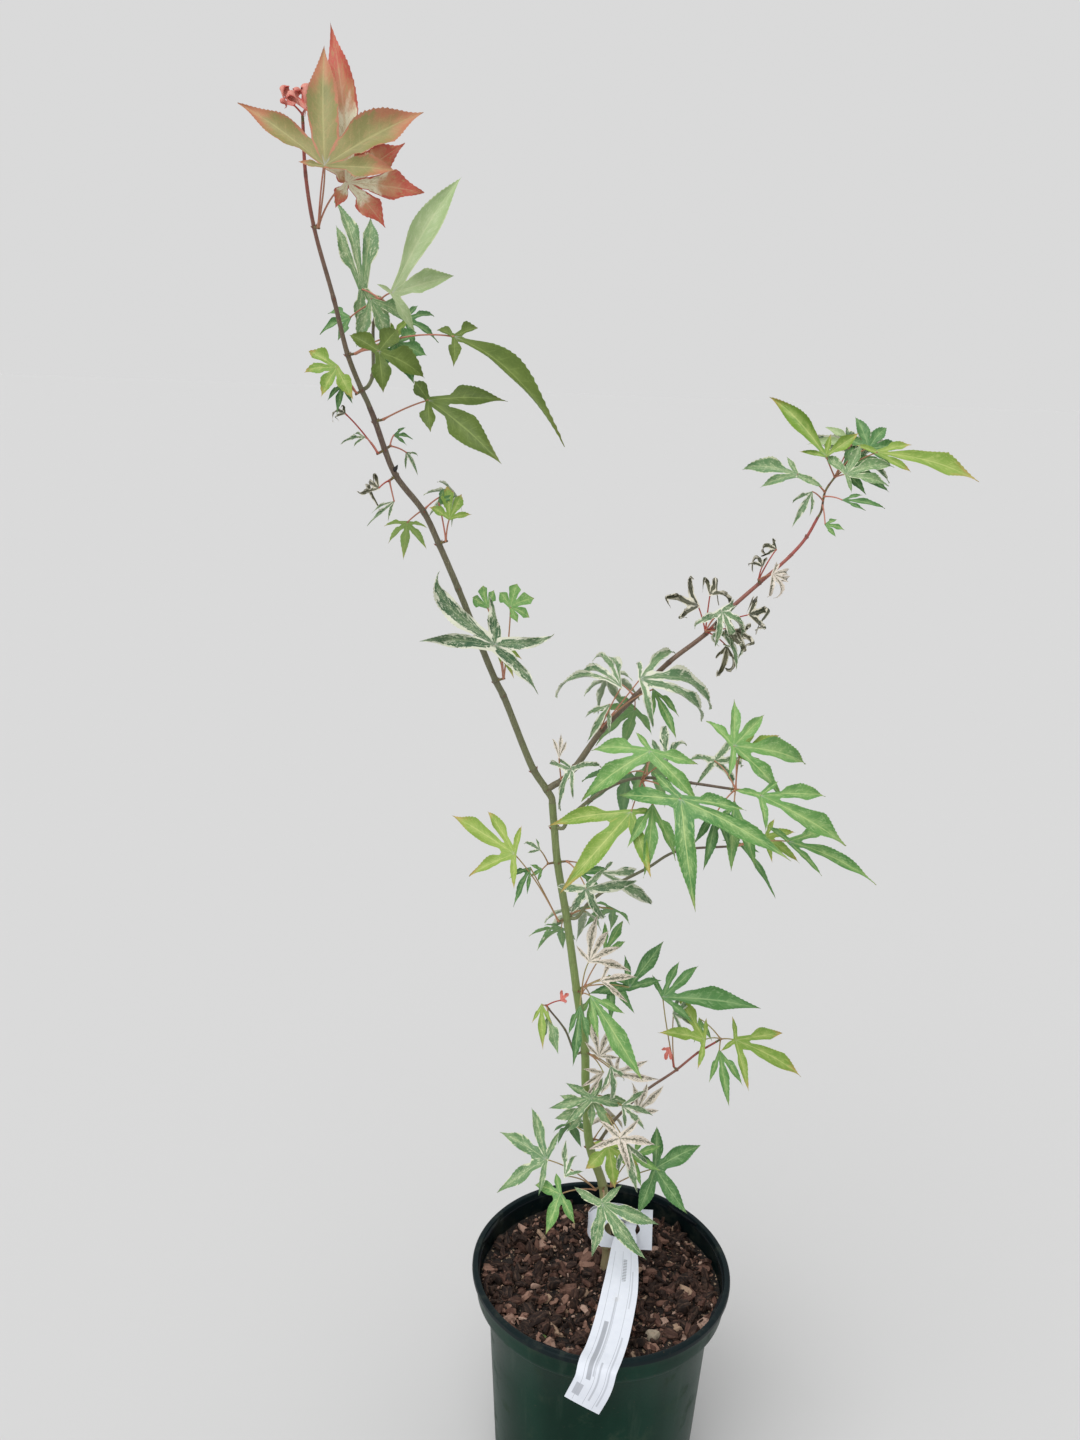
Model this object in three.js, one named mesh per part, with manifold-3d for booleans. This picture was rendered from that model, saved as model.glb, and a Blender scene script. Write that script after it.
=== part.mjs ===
// A young Japanese maple in a round nursery pot: pot, bark mulch, stem label, trunk, boughs and leaf masses.
// Millimetres, +Z up. The plant's front looks along -Y. The origin is the centre of the pot's flat underside.

import * as THREE from "three";
import { mergeVertices } from "three/addons/utils/BufferGeometryUtils.js";
import Module from "manifold-3d";

const wasm = await Module();
wasm.setup();

// Clearance between neighbouring pieces
const clear = 0.3;

// Nursery pot, three litres
const pot = {
  height: 179,
  footRadius: 73,
  footChamfer: 1.5,
  wallTopRadius: 82.5,
  wallTopHeight: 157,
  wall: 1.7,
  collarRadius: 91.5,
  collarTopRadius: 93,
  lipRadius: 95,
  lipHeight: 5,
  lipWidth: 4.5,
  ledgeDrop: 4,
  ledgeWidth: 1.2,
  shelfRise: 4,
  floor: 2,
  drainHoles: 8,
  drainHoleRadius: 4.5,
  drainCircle: 56,
  sides: 40,
};

// Bark mulch on compost, filled to a little under the rim
const mulch = {
  top: 162,
  roughness: 2.2,
  seatRadius: 8,
  rings: 8,
  sectors: 28,
  seed: 41,
};

// Plastic loop label: a slotted head plate before the stem, a neck round the back of the stem, and a tail that
// comes through the slot and hangs out over the rim
const label = {
  thickness: 0.8,
  slot: { centre: [14, -2.5, 211], halfWidth: 13, halfHeight: 6.5, depth: 10, lean: 23.5 },
  plateRings: 5,
  // Middle of the strip, the way its width runs there, and that width
  course: [
    { at: [36, -3, 211], across: [0, 0.4, 0.92], width: 28 },
    { at: [17, -2.5, 211], across: [0, 0.4, 0.92], width: 28 },
    { at: [-2, -1, 210.5], across: [0, 0.4, 0.92], width: 27 },
    { at: [-8, 4, 207], across: [0, 0.25, 0.97], width: 20 },
    { at: [-10, 13, 204], across: [0, 0, 1], width: 15 },
    { at: [-5, 23, 203], across: [0, 0, 1], width: 14 },
    { at: [6, 27, 203], across: [0, 0, 1], width: 14 },
    { at: [17, 23, 204], across: [0.25, 0, 1], width: 14 },
    { at: [21, 14, 206], across: [0.65, 0, 0.75], width: 14 },
    { at: [19, 5, 209], across: [0.97, 0, 0.25], width: 13 },
    { at: [17, -2.5, 211], across: [1, 0, 0], width: 13 },
    { at: [16.5, -9, 210.5], across: [1, 0.05, 0.08], width: 15 },
    { at: [15.2, -15, 207.5], across: [1, 0.05, 0.1], width: 18 },
    { at: [13.5, -30, 201.5], across: [1, 0, 0.1], width: 22 },
    { at: [10.5, -48, 195], across: [1, -0.1, 0.05], width: 25 },
    { at: [3.5, -74, 184.5], across: [0.98, -0.2, 0], width: 26 },
    { at: [-1.5, -88, 180.7], across: [0.97, -0.22, -0.05], width: 26 },
    { at: [-6, -99, 179.3], across: [0.93, -0.3, -0.2], width: 26 },
    { at: [-8.7, -105.5, 172.3], across: [0.86, -0.2, -0.5], width: 26 },
    { at: [-16, -110, 158.5], across: [0.84, -0.1, -0.53], width: 26 },
  ],
};

// Limbs. Each passes through its points; a point in joints carries leaves or a side limb and is a little swollen.
// The first point of a side limb stands off its carrier, and from names that carrier and the point it grows at.
const limbs = {
  trunk: {
    through: [
      [6, 14, 162.3], [5, 14, 182], [2, 13, 214], [-1, 12, 237], [-12, 10, 271], [-17, 9, 317],
      [-19, 8, 349], [-27, 6, 398], [-36, 5, 452], [-44, 3, 494], [-47, 2, 519], [-49, 0, 537],
    ],
    radii: [3.5, 2.5],
    flare: 2.2,
    sides: 8,
  },
  leader_lower: {
    from: { limb: "trunk", joint: 11 },
    through: [
      [-53, 0, 546], [-62, -2, 560], [-83, -8, 611], [-88, -10, 621], [-112, -18, 680], [-124, -22, 708],
      [-133, -25, 727], [-149, -30, 748], [-155, -34, 763], [-160, -38, 779], [-163, -40, 787],
    ],
    radii: [2.4, 1.7],
    sides: 6,
  },
  leader_upper: {
    from: { limb: "leader_lower", joint: 11 },
    through: [[-167, -42, 796], [-174, -47, 815], [-180, -56, 844], [-188, -68, 879], [-190, -78, 903], [-189, -88, 926]],
    radii: [1.6, 0.9],
    sides: 6,
  },
  leader_side_shoot: {
    from: { limb: "leader_upper", joint: 1 },
    through: [[-162, -34, 804], [-162, -31, 818], [-162, -29, 833], [-159, -29, 843]],
    radii: [1.2, 0.9],
    sides: 5,
  },
  right_bough: {
    from: { limb: "leader_lower", joint: 1 },
    through: [
      [-43, 2, 552], [-35, 3, 561], [-18, 8, 586], [3, 14, 608], [24, 20, 630], [48, 26, 649],
      [63, 30, 665], [82, 36, 682], [102, 42, 700], [112, 45, 712], [119, 48, 725],
    ],
    radii: [2.3, 1.0],
    sides: 6,
  },
  middle_branch: {
    from: { limb: "trunk", joint: 10 },
    through: [[-38, -3, 527], [-25, -10, 543], [-7, -22, 560], [8, -32, 567], [35, -42, 568], [60, -45, 566]],
    radii: [1.4, 0.9],
    sides: 5,
  },
  lower_branch: {
    from: { limb: "trunk", joint: 8 },
    through: [[-22, 2, 465], [-11, -2, 477], [15, -10, 497], [33, -16, 512], [68, -26, 521]],
    radii: [1.3, 0.8],
    sides: 5,
  },
  low_branch: {
    from: { limb: "trunk", joint: 4 },
    through: [[4, 17, 286], [25, 26, 305], [50, 32, 322], [65, 36, 334], [79, 38, 343]],
    radii: [1.3, 0.8],
    sides: 5,
  },
  left_twig: {
    from: { limb: "trunk", joint: 6 },
    through: [[-34, 2, 369], [-46, -4, 388]],
    radii: [0.9, 0.7],
    sides: 5,
  },
};
const limbStep = 18;
const limbLead = 3;
const jointSwell = 0.45;
const jointLength = 2.5;

// Kinds of leaf: lobes on a full leaf, half width of a lobe as a share of its length, how far lobes droop and fold
const kinds = {
  green: { lobes: 5, halfWidth: 0.16, droop: 0.16, fold: 0.04, colour: 0x5a964f },
  dark: { lobes: 5, halfWidth: 0.16, droop: 0.18, fold: 0.04, colour: 0x3c6e46 },
  lime: { lobes: 5, halfWidth: 0.155, droop: 0.16, fold: 0.05, colour: 0x8cb93c },
  variegated: { lobes: 5, halfWidth: 0.125, droop: 0.2, fold: 0.05, colour: 0xa3b78f },
  pale: { lobes: 5, halfWidth: 0.15, droop: 0.14, fold: 0.06, colour: 0xb4c98c },
  pinkWhite: { lobes: 5, halfWidth: 0.125, droop: 0.16, fold: 0.04, colour: 0xdcc8be },
  young: { lobes: 5, halfWidth: 0.15, droop: 0.1, fold: 0.04, colour: 0x96915f },
  redCurl: { lobes: 3, halfWidth: 0.22, droop: 0.5, fold: 0.1, colour: 0xb4463c },
  dead: { lobes: 3, halfWidth: 0.12, droop: 0.7, fold: 0.12, colour: 0x6e5a46 },
};

// Leaf plates
const leafThickness = 1.4;
const midribAt = 0.5;
const valleyShare = 0.2;
// A leaf with no longer lobe than this has plain pointed lobes, with no shoulders
const smallLeaf = 23;
const smallValleyShare = 0.4;
const wideGap = 60;
const gapUse = 0.46;
const lobeShares = { 3: [0.75, 1, 0.75], 5: [0.62, 0.88, 1, 0.88, 0.62] };
const lobeStep = 44;
const faceUp = { mean: 38, range: 14 };
const faceTurn = { mean: 0, range: 26 };
const lengthJitter = 0.08;
const headingJitter = 5;

// Leaf stalks and the spurs that they stand on
const stalkRadius = 0.8;
const stalkSteps = 3;
const stalkSides = 3;
const stalkBow = 0.12;
const spurRadius = 1.1;
const spurLength = 4;

// Leaf masses. Each grows from one spur at a limb's joint. A leaf has its hub and its kind, and either each
// lobe's heading and length as the front view shows them (and its half width where that isn't its kind's), or the
// middle lobe's, which the rest follow by rule. The masses at the back, which no front view shows, list no leaves
// but how many grow, how far out and how large.
const masses = {
  crown_tip_curls: {
    limb: "leader_upper", joint: 6,
    leaves: [
      { hub: [-185, -98, 930], kind: "redCurl", middle: [98, 17] },
      { hub: [-193, -90, 933], kind: "redCurl", middle: [125, 13] },
    ],
  },
  crown_top_leaves: {
    limb: "leader_upper", joint: 4,
    leaves: [
      { hub: [-174, -112, 902], kind: "young", up: 20, lobes: [[174, 14], [139, 57], [94, 69], [36, 55, 0.21], [8, 38]] },
      { hub: [-165, -98, 897], kind: "young", up: 25, lobes: [[92, 84, 0.1], [40, 36], [10, 34, 0.2], [-42, 24], [-120, 14]] },
    ],
  },
  side_shoot_leaves: {
    limb: "leader_side_shoot", joint: 4,
    leaves: [
      { hub: [-150, -42, 849], kind: "pale", up: 20, lobes: [[71, 94, 0.1], [24, 40, 0.22], [-60, 24], [150, 9]] },
      { hub: [-170, -18, 852], kind: "variegated", up: 15, lobes: [[114, 44], [98, 64], [84, 50], [-45, 22]] },
      { hub: [-145, -16, 837], kind: "dark", middle: [-20, 20] },
    ],
  },
  upper_node_leaves: {
    limb: "leader_upper", joint: 2,
    leaves: [
      { hub: [-113, -64, 826], kind: "lime", droop: 0.5, lobes: [[150, 12], [30, 16], [-12, 74], [-85, 13]] },
      { hub: [-154, -66, 817], kind: "green", lobes: [[150, 18], [60, 18, 0.25], [-20, 28, 0.2], [-75, 20]] },
    ],
  },
  leader_left_leaf: {
    limb: "leader_upper", joint: 1,
    leaves: [{ hub: [-179, -55, 808], kind: "lime", lobes: [[150, 20], [176, 20], [-120, 15], [-62, 19]] }],
  },
  upper_fork_leaf: {
    limb: "leader_lower", joint: 10,
    leaves: [{ hub: [-128, -52, 792], kind: "green", lobes: [[130, 14], [8, 43], [-34, 46], [-88, 13]] }],
  },
  leader_curl_left: {
    limb: "leader_lower", joint: 9,
    leaves: [{ hub: [-165, -43, 770], kind: "variegated", lobes: [[150, 9], [178, 13], [-150, 8]] }],
  },
  leader_curl_right: {
    limb: "leader_lower", joint: 9,
    leaves: [
      { hub: [-151, -24, 771], kind: "dark", lobes: [[40, 8], [8, 12], [-30, 9]] },
      { hub: [-144, -20, 761], kind: "variegated", lobes: [[0, 8], [-46, 12], [-90, 8]] },
    ],
  },
  leader_withered_leaf: {
    limb: "leader_lower", joint: 8,
    leaves: [{ hub: [-158, -38, 741], kind: "dead", middle: [152, 22] }],
  },
  leader_fan_leaf: {
    limb: "leader_lower", joint: 6,
    leaves: [{ hub: [-117, -30, 724], kind: "lime", lobes: [[140, 14, 0.25], [100, 21, 0.25], [62, 19, 0.25], [15, 13]] }],
  },
  leader_variegated_leaves: {
    limb: "leader_lower", joint: 4,
    leaves: [
      { hub: [-88, -38, 650], kind: "variegated", up: 8, lobes: [[183, 48], [121, 54], [89, 34], [14, 31], [-33, 34]] },
      { hub: [-80, -6, 668], kind: "green", lobes: [[110, 14], [55, 15], [12, 17], [-40, 12]] },
    ],
  },
  fork_white_leaf: {
    limb: "right_bough", joint: 1,
    leaves: [{ hub: [-38, -16, 566], kind: "pinkWhite", lobes: [[172, 21], [148, 14], [21, 23], [-88, 13], [-120, 25]] }],
  },
  bough_variegated_leaves: {
    limb: "right_bough", joint: 3,
    leaves: [
      { hub: [-8, -8, 619], kind: "variegated", droop: 0.5, lobes: [[152, 48], [140, 36], [116, 36], [96, 32]] },
      { hub: [4, -4, 624], kind: "variegated", droop: 0.4, lobes: [[92, 16], [46, 34], [14, 56], [-4, 52], [-68, 26]] },
    ],
  },
  bough_withered_leaves: {
    limb: "right_bough", joint: 6,
    leaves: [
      { hub: [41, 22, 668], kind: "dead", middle: [165, 28] },
      { hub: [56, 14, 668], kind: "dead", middle: [-70, 22] },
      { hub: [66, 16, 654], kind: "dead", middle: [-25, 18] },
    ],
  },
  bough_white_curls: {
    limb: "right_bough", joint: 8,
    leaves: [
      { hub: [88, 24, 690], kind: "pinkWhite", middle: [-20, 14] },
      { hub: [92, 40, 704], kind: "dead", middle: [150, 16] },
    ],
  },
  bough_tip_leaves: {
    limb: "right_bough", joint: 11,
    twig: [[122, 47, 742], [128, 48, 752]],
    leaves: [
      { hub: [119, 42, 765], kind: "green", up: 20, lobes: [[165, 18], [132, 46], [98, 24], [40, 14]] },
      { hub: [100, 34, 753], kind: "variegated", at: 0.6, lobes: [[120, 13], [168, 35], [-168, 24], [-20, 14]] },
      { hub: [153, 46, 768], kind: "lime", lobes: [[160, 14], [20, 26], [0, 70], [-26, 24]] },
      { hub: [144, 68, 765], kind: "variegated", lobes: [[150, 22], [72, 18], [28, 27], [-18, 26], [-62, 18]] },
      { hub: [130, 32, 738], kind: "dark", at: 0.5, lobes: [[28, 15], [0, 25], [-32, 16]] },
      { hub: [121, 34, 722], kind: "green", at: 0.3, lobes: [[-60, 10], [-98, 14], [-130, 9]] },
    ],
  },
  middle_front_leaves: {
    limb: "middle_branch", joint: 4,
    leaves: [
      { hub: [9, -46, 589], kind: "variegated", lobes: [[126, 14], [180, 38], [-148, 48], [-42, 38], [-4, 28]] },
      { hub: [-1, -54, 552], kind: "lime", lobes: [[-175, 53], [-131, 57], [-74, 36], [12, 15]] },
      { hub: [27, -68, 566], kind: "dark", lobes: [[142, 23], [-176, 40], [-86, 52], [-14, 60], [4, 36]] },
    ],
  },
  middle_tip_leaves: {
    limb: "middle_branch", joint: 6,
    leaves: [
      { hub: [60, -46, 594], kind: "green", lobes: [[130, 22], [80, 25], [34, 29], [-12, 54], [-34, 44], [-100, 15]] },
      { hub: [76, -62, 568], kind: "green", lobes: [[160, 18], [36, 15], [2, 43], [-20, 64], [-84, 18]] },
      { hub: [54, -14, 574], kind: "variegated", lobes: [[160, 20], [45, 22], [5, 28], [-35, 24], [-140, 18]] },
      { hub: [50, -62, 556], kind: "dark", lobes: [[-20, 15], [-60, 20], [-100, 26], [-142, 18]] },
    ],
  },
  lower_tip_leaves: {
    limb: "lower_branch", joint: 5,
    leaves: [
      { hub: [101, -38, 530], kind: "green", lobes: [[150, 14], [12, 28], [-8, 62, 0.09], [-42, 27, 0.1]] },
      { hub: [76, -16, 518], kind: "dark", lobes: [[170, 14, 0.1], [-20, 12, 0.1], [-50, 30, 0.08]] },
    ],
  },
  trunk_left_leaf: {
    limb: "trunk", joint: 8,
    leaves: [{ hub: [-73, -10, 504], kind: "lime", lobes: [[80, 16], [130, 33], [157, 53], [-165, 32], [-88, 16]] }],
  },
  trunk_upper_leaves: {
    limb: "trunk", joint: 9,
    leaves: [
      { hub: [-25, -24, 487], kind: "variegated", up: 12, lobes: [[180, 25], [52, 21], [17, 38], [-64, 24], [-122, 23]] },
      { hub: [-13, 28, 477], kind: "variegated", lobes: [[40, 15], [-4, 34], [-29, 54]] },
    ],
  },
  trunk_upper_buds: {
    limb: "trunk", joint: 9,
    leaves: [
      { hub: [-56, -4, 505], kind: "variegated", lobes: [[110, 9], [150, 14], [-170, 9]] },
      { hub: [-54, 6, 487], kind: "green", lobes: [[160, 9], [-155, 10], [-110, 8]] },
    ],
  },
  trunk_white_leaves: {
    limb: "trunk", joint: 7,
    leaves: [
      { hub: [-20, -10, 428], kind: "pinkWhite", lobes: [[142, 13], [89, 27], [54, 25], [27, 24], [2, 31]] },
      { hub: [-18, -14, 404], kind: "green", lobes: [[-12, 22], [-43, 49], [-80, 20]] },
    ],
  },
  trunk_middle_leaves: {
    limb: "trunk", joint: 7,
    leaves: [
      { hub: [-8, 20, 420], kind: "green", lobes: [[88, 17], [54, 26], [20, 18]] },
      { hub: [10, 12, 398], kind: "dark", lobes: [[175, 29], [102, 18], [45, 37], [10, 24]] },
      { hub: [-16, 24, 383], kind: "green", up: 5, lobes: [[-60, 22], [-88, 35], [-118, 18]] },
    ],
  },
  left_twig_leaf: {
    limb: "left_twig", joint: 2,
    leaves: [
      { hub: [-51, -6, 392], kind: "lime", lobes: [[-55, 12], [-92, 20], [-130, 11]] },
      { hub: [-38, -8, 397], kind: "redCurl", middle: [40, 11] },
    ],
  },
  trunk_low_white_leaves: {
    limb: "trunk", joint: 6,
    leaves: [
      { hub: [-10, -10, 356], kind: "pinkWhite", lobes: [[140, 13], [101, 25], [72, 22], [46, 25], [12, 14]] },
      { hub: [2, -12, 345], kind: "pinkWhite", lobes: [[122, 14], [76, 14], [31, 26], [5, 30], [-130, 19]] },
    ],
  },
  trunk_low_variegated_leaves: {
    limb: "trunk", joint: 5,
    leaves: [
      { hub: [-14, -14, 326], kind: "variegated", lobes: [[152, 20], [-178, 27], [-148, 21], [62, 13], [-12, 29]] },
      { hub: [20, 2, 306], kind: "pinkWhite", lobes: [[152, 15], [92, 19], [62, 22], [35, 25], [-8, 19]] },
      { hub: [6, -28, 304], kind: "pinkWhite", lobes: [[135, 19], [-170, 21], [-67, 22], [-5, 27], [35, 20]] },
    ],
  },
  trunk_low_green_leaves: {
    limb: "trunk", joint: 3,
    leaves: [
      { hub: [0, -12, 286], kind: "lime", up: 20, lobes: [[172, 12], [-132, 23], [-74, 28], [-25, 26], [22, 13]] },
      { hub: [36, 4, 258], kind: "dark", lobes: [[158, 17], [84, 25], [32, 36], [-45, 34], [-118, 28]] },
    ],
  },
  low_branch_middle_leaves: {
    limb: "low_branch", joint: 3,
    leaves: [
      { hub: [35, 20, 387], kind: "dark", lobes: [[125, 14], [64, 26], [38, 34], [13, 64], [-22, 24]] },
      { hub: [42, 20, 347], kind: "redCurl", middle: [-115, 11] },
    ],
  },
  low_branch_tip_leaves: {
    limb: "low_branch", joint: 5,
    leaves: [
      { hub: [92, 34, 347], kind: "lime", lobes: [[95, 12], [6, 38], [-16, 58], [-68, 28], [-160, 12]] },
      { hub: [66, 14, 358], kind: "lime", lobes: [[82, 12], [128, 36], [170, 33], [-108, 14]] },
      { hub: [68, 58, 350], kind: "green", lobes: [[-50, 14], [-80, 18], [-112, 12]] },
    ],
  },
  low_left_leaves: {
    limb: "trunk", joint: 3,
    leaves: [
      { hub: [-44, -8, 271], kind: "variegated", lobes: [[52, 18], [116, 27], [155, 40], [-153, 37], [-103, 17]] },
      { hub: [-33, -22, 253], kind: "lime", lobes: [[112, 10], [169, 20], [-120, 20], [-43, 16]] },
    ],
  },
  front_foot_leaf: {
    limb: "trunk", joint: 3,
    leaves: [{ hub: [-4, -36, 257], kind: "green", lobes: [[168, 22], [-104, 34], [-40, 36], [2, 36], [46, 18]] }],
  },
  middle_back_leaves: {
    limb: "middle_branch", joint: 4,
    grown: { count: 4, kinds: ["green", "dark"], fan: [-55, 55], stalk: 36, rise: -6, size: 36 },
  },
  bough_back_leaves: {
    limb: "right_bough", joint: 4,
    grown: { count: 2, kinds: ["variegated", "green"], fan: [-50, 10], stalk: 24, rise: -6, size: 28 },
  },
  leader_back_leaves: {
    limb: "leader_lower", joint: 7,
    grown: { count: 2, kinds: ["lime", "variegated"], fan: [-40, 40], stalk: 22, rise: 0, size: 22 },
  },
  trunk_back_leaves: {
    limb: "trunk", joint: 8,
    grown: { count: 3, kinds: ["green", "variegated"], fan: [-10, 60], stalk: 32, rise: -16, size: 32 },
  },
  trunk_low_back_leaves: {
    limb: "trunk", joint: 4,
    grown: { count: 3, kinds: ["dark", "pinkWhite", "green"], fan: [-20, 70], stalk: 30, rise: 4, size: 28 },
  },
};

// Leaves grown by rule: how far the stalks' ways and the sizes vary, how much of its stalk's way a blade turns
// with, and the middle lobe's heading
const grownTurn = 9;
const grownFacing = 0.4;
const grownVary = 0.2;
const grownHang = { mean: -70, range: 50 };

// Colours of the made pieces and the bark
const colours = {
  pot: 0x1e3a33,
  mulch: 0x5f4234,
  label: 0xe4eaee,
  greenBark: 0x74803f,
  oliveBark: 0x6a5c3c,
  redBark: 0x7a4638,
};

const vector = (place) => new THREE.Vector3(...place);
const radians = THREE.MathUtils.degToRad;

// Evenly spread numbers from 0 to 1, the same on every run
function seededDraws(seed) {
  let state = Math.imul(seed, 2654435761) >>> 0;
  return () => {
    state = (Math.imul(state, 1664525) + 1013904223) >>> 0;
    return state / 4294967296;
  };
}

function spread(draw, range) {
  return (2 * draw() - 1) * range;
}

// A closed three.js geometry, or plain corners and faces, as a solid
function solidFrom(corners, faces) {
  const vertProperties = new Float32Array(corners.flatMap((p) => [p.x, p.y, p.z]));
  return new wasm.Manifold(new wasm.Mesh({ numProp: 3, vertProperties, triVerts: new Uint32Array(faces) }));
}

function solidOfGeometry(geometry) {
  geometry.deleteAttribute("normal");
  geometry.deleteAttribute("uv");
  const merged = mergeVertices(geometry, 1e-4);
  const vertProperties = new Float32Array(merged.attributes.position.array);
  return new wasm.Manifold(new wasm.Mesh({ numProp: 3, vertProperties, triVerts: new Uint32Array(merged.index.array) }));
}

// The largest body alone: drops loose scraps and fills sealed hollows
function wholeBody(solid) {
  return solid.decompose().reduce((best, body) => (body.volume() > best.volume() ? body : best));
}

function geometryOf(solid) {
  const mesh = solid.getMesh();
  const corners = new Float32Array(mesh.numVert * 3);
  for (let i = 0; i < mesh.numVert; i++) {
    corners.set(mesh.vertProperties.subarray(i * mesh.numProp, i * mesh.numProp + 3), i * 3);
  }
  const geometry = new THREE.BufferGeometry();
  geometry.setAttribute("position", new THREE.BufferAttribute(corners, 3));
  geometry.setIndex(new THREE.BufferAttribute(new Uint32Array(mesh.triVerts), 1));
  geometry.computeVertexNormals();
  return geometry;
}

// A closed tube through rings of equally many points, each ring turning from its normal to its side
function closedTube(rings) {
  const count = rings[0].length;
  const faces = [];
  for (let i = 0; i + 1 < rings.length; i++) {
    for (let k = 0; k < count; k++) {
      const next = (k + 1) % count;
      const [a, b, c, d] = [i * count + k, i * count + next, (i + 1) * count + next, (i + 1) * count + k];
      faces.push(a, b, c, a, c, d);
    }
  }
  const last = (rings.length - 1) * count;
  for (let k = 1; k + 1 < count; k++) {
    faces.push(0, k + 1, k, last, last + k, last + k + 1);
  }
  return solidFrom(rings.flat(), faces);
}

// Round rings along a curve at the given shares of its length, carried on without twist
function ringsAlong(curve, shares, radiusAt, sides) {
  let normal = new THREE.Vector3(0, 1, 0);
  if (Math.abs(curve.getTangentAt(0).y) > 0.9) {
    normal = new THREE.Vector3(1, 0, 0);
  }
  return shares.map((share) => {
    const centre = curve.getPointAt(share);
    const tangent = curve.getTangentAt(share);
    normal = normal.clone().addScaledVector(tangent, -normal.dot(tangent)).normalize();
    const side = tangent.clone().cross(normal);
    return Array.from({ length: sides }, (_, k) => {
      const turn = (2 * Math.PI * k) / sides;
      return centre
        .clone()
        .addScaledVector(normal, radiusAt(share) * Math.cos(turn))
        .addScaledVector(side, radiusAt(share) * Math.sin(turn));
    });
  });
}

// Where each of a curve's points lies along its length
function sharesOfPoints(curve) {
  const between = 20;
  const lengths = curve.getLengths((curve.points.length - 1) * between);
  return curve.points.map((_, i) => lengths[i * between] / lengths[lengths.length - 1]);
}

// Works out a limb's curve and thickness. A side limb starts clear of its carrier.
function layLimb(name) {
  const limb = limbs[name];
  const points = limb.through.map(vector);
  if (limb.from) {
    const { start, out } = seatOn(limb.from.limb, limb.from.joint, points[0]);
    points.unshift(start, start.clone().addScaledVector(out, limbLead));
  }
  limb.curve = new THREE.CatmullRomCurve3(points, false, "centripetal");
  limb.shares = sharesOfPoints(limb.curve);
  if (limb.from) {
    limb.shares.splice(1, 1);
  }
  limb.length = limb.curve.getLength();
  limb.radiusAt = (share) => {
    const plain = THREE.MathUtils.lerp(limb.radii[0], limb.radii[1], share);
    const fromFoot = share * limb.length;
    const flare = (limb.flare ?? 0) * Math.exp(-fromFoot / 9);
    const inner = limb.shares.slice(1, -1);
    const nearest = Math.min(...inner.map((joint) => Math.abs(joint - share) * limb.length));
    return plain + flare + jointSwell * Math.max(0, 1 - nearest / jointLength) * (plain / limbs.trunk.radii[0]);
  };
}

// A point clear of a limb's skin at one of its joints, on the side that faces the target, and the way out there
function seatOn(name, joint, target) {
  const { curve, shares, radiusAt } = limbs[name];
  const centre = curve.getPointAt(shares[joint]);
  const tangent = curve.getTangentAt(shares[joint]);
  if (joint === shares.length - 1) {
    return { start: centre.addScaledVector(tangent, clear), out: tangent };
  }
  const out = target.clone().sub(centre);
  out.addScaledVector(tangent, -out.dot(tangent)).normalize();
  return { start: centre.addScaledVector(out, radiusAt(shares[joint]) + clear), out };
}

function limbSolid(name) {
  const { curve, shares, length, radiusAt, sides } = limbs[name];
  const stops = [0];
  for (let i = 1; i < shares.length; i++) {
    const span = shares[i] - shares[i - 1];
    const steps = Math.max(1, Math.round((span * length) / limbStep));
    for (let k = 1; k < steps; k++) {
      stops.push(shares[i - 1] + (span * k) / steps);
    }
    if (i + 1 < shares.length) {
      const beside = jointLength / length;
      stops.push(shares[i] - beside, shares[i], shares[i] + beside);
    }
  }
  stops.push(1);
  const inOrder = stops.sort((a, b) => a - b).filter((stop, i, all) => i === 0 || stop - all[i - 1] > 0.5 / length);
  return closedTube(ringsAlong(curve, inOrder, radiusAt, sides));
}

// The lobes of a leaf: those it lists, or a palmate set about its middle lobe, each a little changed by the draw
function lobesOf(leaf, draw) {
  const shares = lobeShares[kinds[leaf.kind].lobes];
  const listed = leaf.lobes ?? shares.map((share, i) => {
    return [leaf.middle[0] + (i - (shares.length - 1) / 2) * lobeStep, leaf.middle[1] * share];
  });
  return listed
    .map(([heading, reach, halfWidth = kinds[leaf.kind].halfWidth]) => ({
      heading: ((heading + spread(draw, headingJitter)) % 360 + 360) % 360,
      reach: reach * (1 + spread(draw, lengthJitter)),
      halfWidth,
    }))
    .sort((a, b) => a.heading - b.heading);
}

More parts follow.
